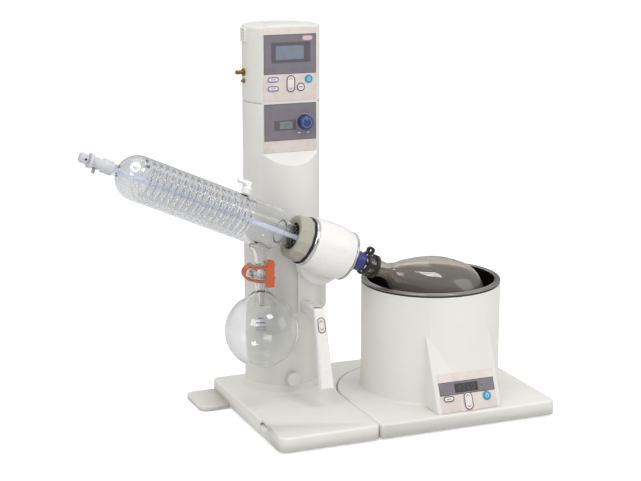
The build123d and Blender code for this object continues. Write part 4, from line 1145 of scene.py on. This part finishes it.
def coil_pieces():
    """Two wound tubes with the bends between them, and the feed tube."""
    lower = smooth_line([(24.5, 0, -322), (25, -6, -327), (28.7, -9, -330), (32.4, -6, -331),
                         (33, 0, -328)], 8)
    upper = smooth_line([(24.5, 0, -130), (25, 5, -125), (28.7, 8, -121.5), (32.4, 5, -121),
                         (33, 0, -124)], 8)
    for name, mesh, nodes in (
        ("coil_bends", together(swept(lower, 2.9), swept(upper, 2.9)), ()),
        ("coil_glass_outer", wound(17, 33.0, 204.0, 3.2, 64, 14, -328), ("cooling_coil",)),
        ("coil_glass_inner", wound(16, 24.5, 192.0, 2.6, 56, 12, -322), ()),
    ):
        settle(name, mesh, "head", coil_glass, nodes, HEAD, angle=60)
    tube = lathe(soften([(2.8, -390), (4.2, -390), (4.2, 20), (2.8, 20)], 0.4), 32)
    # The feed tube's finish glows faintly: painted light.
    settle("feed_line", tube, "head", feed_glow_white, ("feed_tube",), HEAD)


def pear_outline(inset, low):
    """Half section of the evaporating flask, inset for its inside."""
    line = smooth_line([
        (14.8, 173), (17.0, 180), (21.5, 187), (29.5, 197), (45, 226), (57.5, 257),
        (63.6, 285), (FLASK_RADIUS, FLASK_MIDDLE),
    ], 7)
    cap = arc((0, FLASK_MIDDLE), FLASK_RADIUS, 0, 90, 28)[1:]
    shrink = (FLASK_RADIUS - inset) / FLASK_RADIUS
    return [(0, low), (14.8 - inset, low)] + [(r - inset, z) for r, z in line] + [
        (max(r * shrink, 0), FLASK_MIDDLE + (z - FLASK_MIDDLE) * shrink) for r, z in cap]


def evaporating_piece():
    collar = lathe(soften([(13, 124), (16.8, 124), (16.8, 128), (13, 128)], 0.8), 96)
    outer = joined(lathe(pear_outline(0, 124), 160), collar)
    flask = cut(outer, lathe(pear_outline(GLASS_WALL, 110), 160))
    # The flask's brownish tint is a painted reflection.
    settle("pear_flask", flask, "rotor", flask_reflection_tint, ("evaporating_flask",), HEAD,
           angle=50)


def receiver_piece():
    """Round flask with its cup, and the drip tip in its neck."""
    cup = arc((0, BALL_MIDDLE), 20.4, -6, -52, 12)
    neck = smooth_line([(11.2, 264), (11.2, 252), (13.4, 247), (22.2, 240), (33, 232.6)], 6)
    sphere = arc((0, RECEIVER_MIDDLE), FLASK_RADIUS, 59.5, -90, 60)
    sphere[-1] = (0, RECEIVER_MIDDLE - FLASK_RADIUS)
    outline = [(0, 280.5), (22, 280.5), (22, 277), (20.6, 276.4)] + cup[1:] + neck + sphere[1:]
    inside = FLASK_RADIUS - GLASS_WALL
    hollow = [(0, 290)] + arc((0, BALL_MIDDLE), 17.8, 10, -60, 14)
    hollow += [(9, 262), (9, 251), (11.2, 245.3), (20.4, 238), (31, 230.8)]
    hollow += arc((0, RECEIVER_MIDDLE), inside, 60, -90, 60)[1:60]
    hollow += [(0, RECEIVER_MIDDLE - inside)]
    tip = [(3.4, 222), (5, 223), (6.4, 246), (8.8, 268), (7.4, 268), (5.0, 246)]
    tip = lathe(soften(tip, 0.4), 64)
    body = lathe(outline, 160)
    settle("receiver_glass", together(cut(body, lathe(hollow, 160)), tip), "head", clear_glass,
           ("receiver_flask",), RECEIVER, angle=50)


def receiver_marks():
    """Generic volume number and lines on the receiver's front."""
    turn = math.radians(22)
    out = Vector((-math.sin(turn), -math.cos(turn), 0))
    side = Vector((math.cos(turn), -math.sin(turn), 0))
    spot = RECEIVER.translation + Vector((0, 0, RECEIVER_MIDDLE))
    face = Matrix((
        (side.x, 0, out.x, spot.x), (side.y, 0, out.y, spot.y), (0, 1, 0, spot.z),
        (0, 0, 0, 1),
    ))
    marks = [shifted(box_outline(16, 1.6, 0.3), 0, 31), shifted(box_outline(9, 1.4, 0.3), 0, 38)]
    marks += digit_row("1000", -10.5, 18, 5.4, 7, 0.17)
    parts = []
    for line in marks:
        x, y = (sum(values) / len(line) for values in zip(*line))
        skin = math.sqrt(FLASK_RADIUS ** 2 - x * x - y * y)
        parts.append((moved(prism(line, skin - 0.2, skin + 0.2), face), mark_blue))
    settle("receiver_marks", painted(*parts), "head", None)


def port_plane(origin, normal):
    """Matrix whose local Z leaves a point along a direction, on the head axis."""
    z = Vector(normal).normalized()
    x = z.orthogonal().normalized()
    y = z.cross(x)
    local = Matrix((
        (x.x, y.x, z.x, origin[0]), (x.y, y.y, z.y, origin[1]), (x.z, y.z, z.z, origin[2]),
        (0, 0, 0, 1),
    ))
    return HEAD @ local


dome_way = Vector((13.6, 31.0, -18.5)).normalized()
DOME_PORT = port_plane(Vector((0, 0, DOME)) + dome_way * BODY_RADIUS, dome_way)
TOP_PORT = port_plane((BODY_RADIUS, 0, -141), (1, 0, 0))


def feed_adapter():
    """Adapter on the condenser's end, with its side nipple."""
    adapter = lathe(soften([
        (4.3, -423), (13.3, -423), (13.3, -417.5), (9.5, -416), (9.5, -400), (12.5, -398),
        (12.5, -380), (9.6, -380), (9.6, -391.5), (4.3, -391.5),
    ], 0.8), 96)
    nipple = moved(lathe(soften([
        (0, 7.5), (5.6, 7.5), (5.6, 10.2), (3, 10.2), (2.6, 12), (3, 14), (2.6, 15.2), (3, 17.2),
        (2.7, 18.2), (1.4, 18.2), (1.4, 9), (0, 9),
    ], 0.3), 48), port_plane((0, 0, -409), (-1, 0, 0)))
    settle("feed_adapter_body", painted((moved(adapter, HEAD), milky), (nipple, turned_steel)),
           "head", None, ("feed_adapter",))


def stopcock():
    """Knob with eight ribs and a dot on its side."""
    knob = lathe(soften([(0, -439.3), (7.3, -439.3), (8.3, -437.8), (8.3, -426.4), (5.5, -423.3),
                         (4.2, -423.2), (4.2, -410), (0, -410)], 0.8), 64)
    ribs = ring_of(prism(pill(2.2, 2.6, 6), -437.5, -427), 8, 7.6, milky)
    dot_place = Matrix(((0, 1, 0, 0), (0, 0, 1, 8.5), (1, 0, 0, -430), (0, 0, 0, 1)))
    dot = moved(cylinder(2.0, 0, 0.5, 32), dot_place)
    settle("stopcock_knob", moved(painted((together(knob, ribs), milky), (dot, navy)), HEAD),
           "stopcock", None, ("stopcock_key",))


def clip_and_clamp():
    refined("joint_clip", "rotor", black_clip, 0.6)
    refined("fork_clamp", "joint_clamp", orange, 0.9)


# Bath


def bath_case():
    """Round housing with its control wedge."""
    outline = [(0, BATH_LOW), (133.5, BATH_LOW), (130, 31.5), (BATH_RADIUS, 35),
               (BATH_RADIUS, BATH_HIGH), (0, BATH_HIGH)]
    outer = moved(lathe(soften(outline, 0.8), 224), BATH)
    back = -130
    rise = (back - WEDGE_FRONT) * math.tan(SLOPE)
    side = [(WEDGE_FRONT, BATH_LOW), (back, BATH_LOW), (back, BATH_LOW + rise)]
    wedge = cut(bar(side, -64, 64), prism(box_outline(200, 700), 185, 600))
    moved(wedge, Matrix.Translation((BATH_X, 0, 0)))
    inner = moved(cylinder(125.5, 29, 232, 160), BATH)
    housing = bevelled(joined(outer, bevelled(wedge, 1.5, 3)), 1.0, 3, 35)
    holes = [moved(hole, WEDGE) for hole in key_holes(bath_keys, 0.5, -2, 1)]
    settle("bath_case", cut(housing, inner, *holes), "bath", case_white,
           ("bath_housing",), angle=40)


def bath_bowl():
    """Wide rim, bright lip and pot, and the seal under the rim."""
    rim_ring = lathe(soften([
        (119.6, 233), (127.6, 233), (BATH_RADIUS, 233.8), (BATH_RADIUS, 236.0), (127.4, 236.9),
        (121.4, 237), (120.2, 236.4), (119.6, 235.8),
    ], 0.9, 4), 224)
    lip = lathe(soften([(118, 232.8), (119.55, 232.8), (119.55, 236.4), (118, 236.6)], 0.5), 224)
    pot = lathe([(0, 97), (110, 97)] + arc((110.5, 106.5), 9, -80, 0, 8)
                + [(119.5, 233.1), (118.0, 233.1)] + arc((110.5, 106.5), 7.5, 0, -80, 8)
                + [(110, 98.6), (0, 98.6)], 192)
    settle("bath_bowl", painted((rim_ring, rim_steel), (lip, chrome), (pot, pot_steel)), "bath",
           None, ("bath_pot",), BATH)
    gasket = lathe(soften([(119.7, BATH_HIGH), (127.9, BATH_HIGH), (127.9, 233),
                           (119.7, 233)], 0.5), 192)
    settle("bath_seal", gasket, "bath", rubber, ("bath_gasket",), BATH)


def bath_front():
    """Beige plate on the wedge, with its display band."""
    plate = bevelled(prism(rect(110, 69.5, 0, 35.25, 2), 0, PLATE), 0.3, 2)
    plate = cut(plate, *key_holes(bath_keys, 0.5, -1, 2))
    settle("bath_plate", moved(plate, WEDGE), "bath", panel_beige, ("bath_panel",))
    band = printed(rect(109, 23.5, 0, 43), 0, SKIN, WEDGE)
    edge = rim(rect(109, 23.5, 0, 43), rect(107.4, 21.9, 0, 43, 0.3), PLATE + SKIN, PLATE + 0.35)
    notch = moved(key_holes(bath_keys[1:2], 1.4, -1, 4)[0], WEDGE)
    band, edge = cut(band, notch), cut(moved(edge, WEDGE), notch)
    digits = [(printed(line, 0.7, 0.76, WEDGE), digit_dim)
              for line in digit_row("8060", -17, 38.1, 9, 9)]
    settle("bath_window", painted(
        (band, band_grey), (printed(rect(46, 16, -1, 42.5, 1), SKIN, 0.7, WEDGE), led_dark),
        (edge, ink), (printed(shifted(pill(2.2, 2.2), 30, 43), SKIN, 0.6, WEDGE), ink),
        (printed(rect(13, 1.6, 40, 43, 0.3), SKIN, 0.32, WEDGE), soft_violet), *digits,
    ), "bath", None, ("bath_display",))


# Studio


def grey(level):
    return (level, level, level, 1)


def set_ramp(node, stops):
    """Colours of a ramp, the first and the last at its two ready stops."""
    places = node.color_ramp.elements
    for place, (position, colour) in zip(list(places), (stops[0], stops[-1])):
        place.position = position
        place.color = colour
    for position, colour in stops[1:-1]:
        places.new(position).color = colour


def studio_world():
    """White for the camera, soft light, and darker bands that gloss and glass see."""
    world = bpy.context.scene.world or bpy.data.worlds.new("studio")
    bpy.context.scene.world = world
    world.use_nodes = True
    tree = world.node_tree
    tree.nodes.clear()
    nodes = add_nodes(
        tree, path="ShaderNodeLightPath", place="ShaderNodeTexCoord",
        split="ShaderNodeSeparateXYZ", half="ShaderNodeMath", gloss_ramp="ShaderNodeValToRGB",
        glass_ramp="ShaderNodeValToRGB", soft="ShaderNodeBackground",
        white="ShaderNodeBackground", gloss="ShaderNodeBackground", clear="ShaderNodeBackground",
        for_gloss="ShaderNodeMixShader", for_glass="ShaderNodeMixShader",
        for_camera="ShaderNodeMixShader", out="ShaderNodeOutputWorld",
    )
    for name, strength in (("soft", 0.68), ("white", 1.0)):
        nodes[name].inputs["Color"].default_value = grey(1)
        nodes[name].inputs["Strength"].default_value = strength
    nodes["half"].operation = "MULTIPLY_ADD"
    nodes["half"].inputs[1].default_value = 0.5
    nodes["half"].inputs[2].default_value = 0.5
    set_ramp(nodes["gloss_ramp"], [
        (0.30, grey(0.9)), (0.47, grey(0.5)), (0.53, grey(0.18)), (0.62, grey(0.3)),
        (0.72, grey(0.95)), (0.95, grey(1)),
    ])
    set_ramp(nodes["glass_ramp"], [
        (0.56, (0.74, 0.74, 0.75, 1)), (0.66, grey(0.45)), (0.8, grey(0.22)),
        (1.0, (0.6, 0.6, 0.62, 1)),
    ])
    wire(tree, nodes, """
        place.Generated > split.0
        split.Z > half.0
        half.0 > gloss_ramp.Fac
        gloss_ramp.0 > gloss.Color
        half.0 > glass_ramp.Fac
        glass_ramp.0 > clear.Color
        path.Is Glossy Ray > for_gloss.Fac
        soft.0 > for_gloss.1
        gloss.0 > for_gloss.2
        path.Is Transmission Ray > for_glass.Fac
        for_gloss.0 > for_glass.1
        clear.0 > for_glass.2
        path.Is Camera Ray > for_camera.Fac
        for_glass.0 > for_camera.1
        white.0 > for_camera.2
        for_camera.0 > out.Surface
    """)


def studio_floor():
    """Pale floor that keeps a shadow and is lifted to white for the camera."""
    half = 8
    mesh = bpy.data.meshes.new("studio_floor")
    mesh.from_pydata([(-half, -half, 0), (half, -half, 0), (half, half, 0), (-half, half, 0)], [],
                     [(0, 1, 2, 3)])
    floor = bpy.data.objects.new("studio_floor", mesh)
    floor.location.z = -0.0004
    bpy.context.scene.collection.objects.link(floor)
    pale = bpy.data.materials.new("studio_floor")
    pale.use_nodes = True
    tree = pale.node_tree
    tree.nodes.clear()
    nodes = add_nodes(
        tree, path="ShaderNodeLightPath", skin="ShaderNodeBsdfDiffuse", glow="ShaderNodeEmission",
        seen="ShaderNodeMath", level="ShaderNodeMath", total="ShaderNodeAddShader",
        out="ShaderNodeOutputMaterial",
    )
    nodes["skin"].inputs["Color"].default_value = grey(0.72)
    for name, operation, share in (("seen", "MULTIPLY", 0.55), ("level", "MULTIPLY_ADD", 0.14)):
        nodes[name].operation = operation
        nodes[name].inputs[1].default_value = share
    wire(tree, nodes, """
        path.Is Camera Ray > seen.0
        path.Is Transmission Ray > level.0
        seen.0 > level.2
        level.0 > glow.Strength
        skin.0 > total.0
        glow.0 > total.1
        total.0 > out.Surface
    """)
    mesh.materials.append(pale)


def lamp(name, place, target, size, power):
    """Soft rectangular lamp that faces its target."""
    light = bpy.data.lights.new(name, "AREA")
    light.shape = "RECTANGLE"
    light.size, light.size_y = size
    light.energy = power
    holder = bpy.data.objects.new(name, light)
    holder.location = place
    way = Vector(target) - Vector(place)
    holder.rotation_euler = way.to_track_quat("-Z", "Y").to_euler()
    bpy.context.scene.collection.objects.link(holder)


def lamps_and_camera():
    """Four soft lamps, and the camera at the photograph's angle."""
    lamp("key_light", (-1.9, -1.9, 2.2), (0, -0.1, 0.3), (1.6, 1.2), 24)
    lamp("fill_light", (2.2, -1.6, 1.3), (0.1, -0.1, 0.25), (1.4, 1.4), 9)
    lamp("front_top_light", (0.7, -1.9, 2.9), (0.2, -0.15, 0.15), (1.0, 0.8), 20)
    lamp("top_light", (0.2, 0.5, 2.4), (0.1, -0.1, 0.2), (1.8, 1.2), 8)
    lens = bpy.data.cameras.new("camera")
    lens.lens = 88.94
    lens.sensor_width = 36
    camera = bpy.data.objects.new("camera", lens)
    camera.location = (-1.0185, -2.6566, 0.9694)
    camera.rotation_euler = (math.radians(90 - 13.16), 0, math.radians(-22.42))
    bpy.context.scene.collection.objects.link(camera)
    bpy.context.scene.camera = camera
    bpy.context.scene.view_settings.view_transform = "Standard"


def build_all():
    """Every piece in its fixed order, then the studio."""
    base_pieces()
    column_pieces()
    controller_pieces()
    front_plates()
    controller_window()
    speed_window()
    all_keys()
    knobs()
    side_fittings()
    inner_works()
    lift_grip()
    lift_switch()
    head_casting()
    head_rings()
    rotor_pieces()
    nut_pieces()
    condenser_piece()
    coil_pieces()
    evaporating_piece()
    receiver_piece()
    receiver_marks()
    feed_adapter()
    stopcock()
    bath_case()
    bath_bowl()
    bath_front()
    clip_and_clamp()
    studio_world()
    studio_floor()
    lamps_and_camera()


build_all()
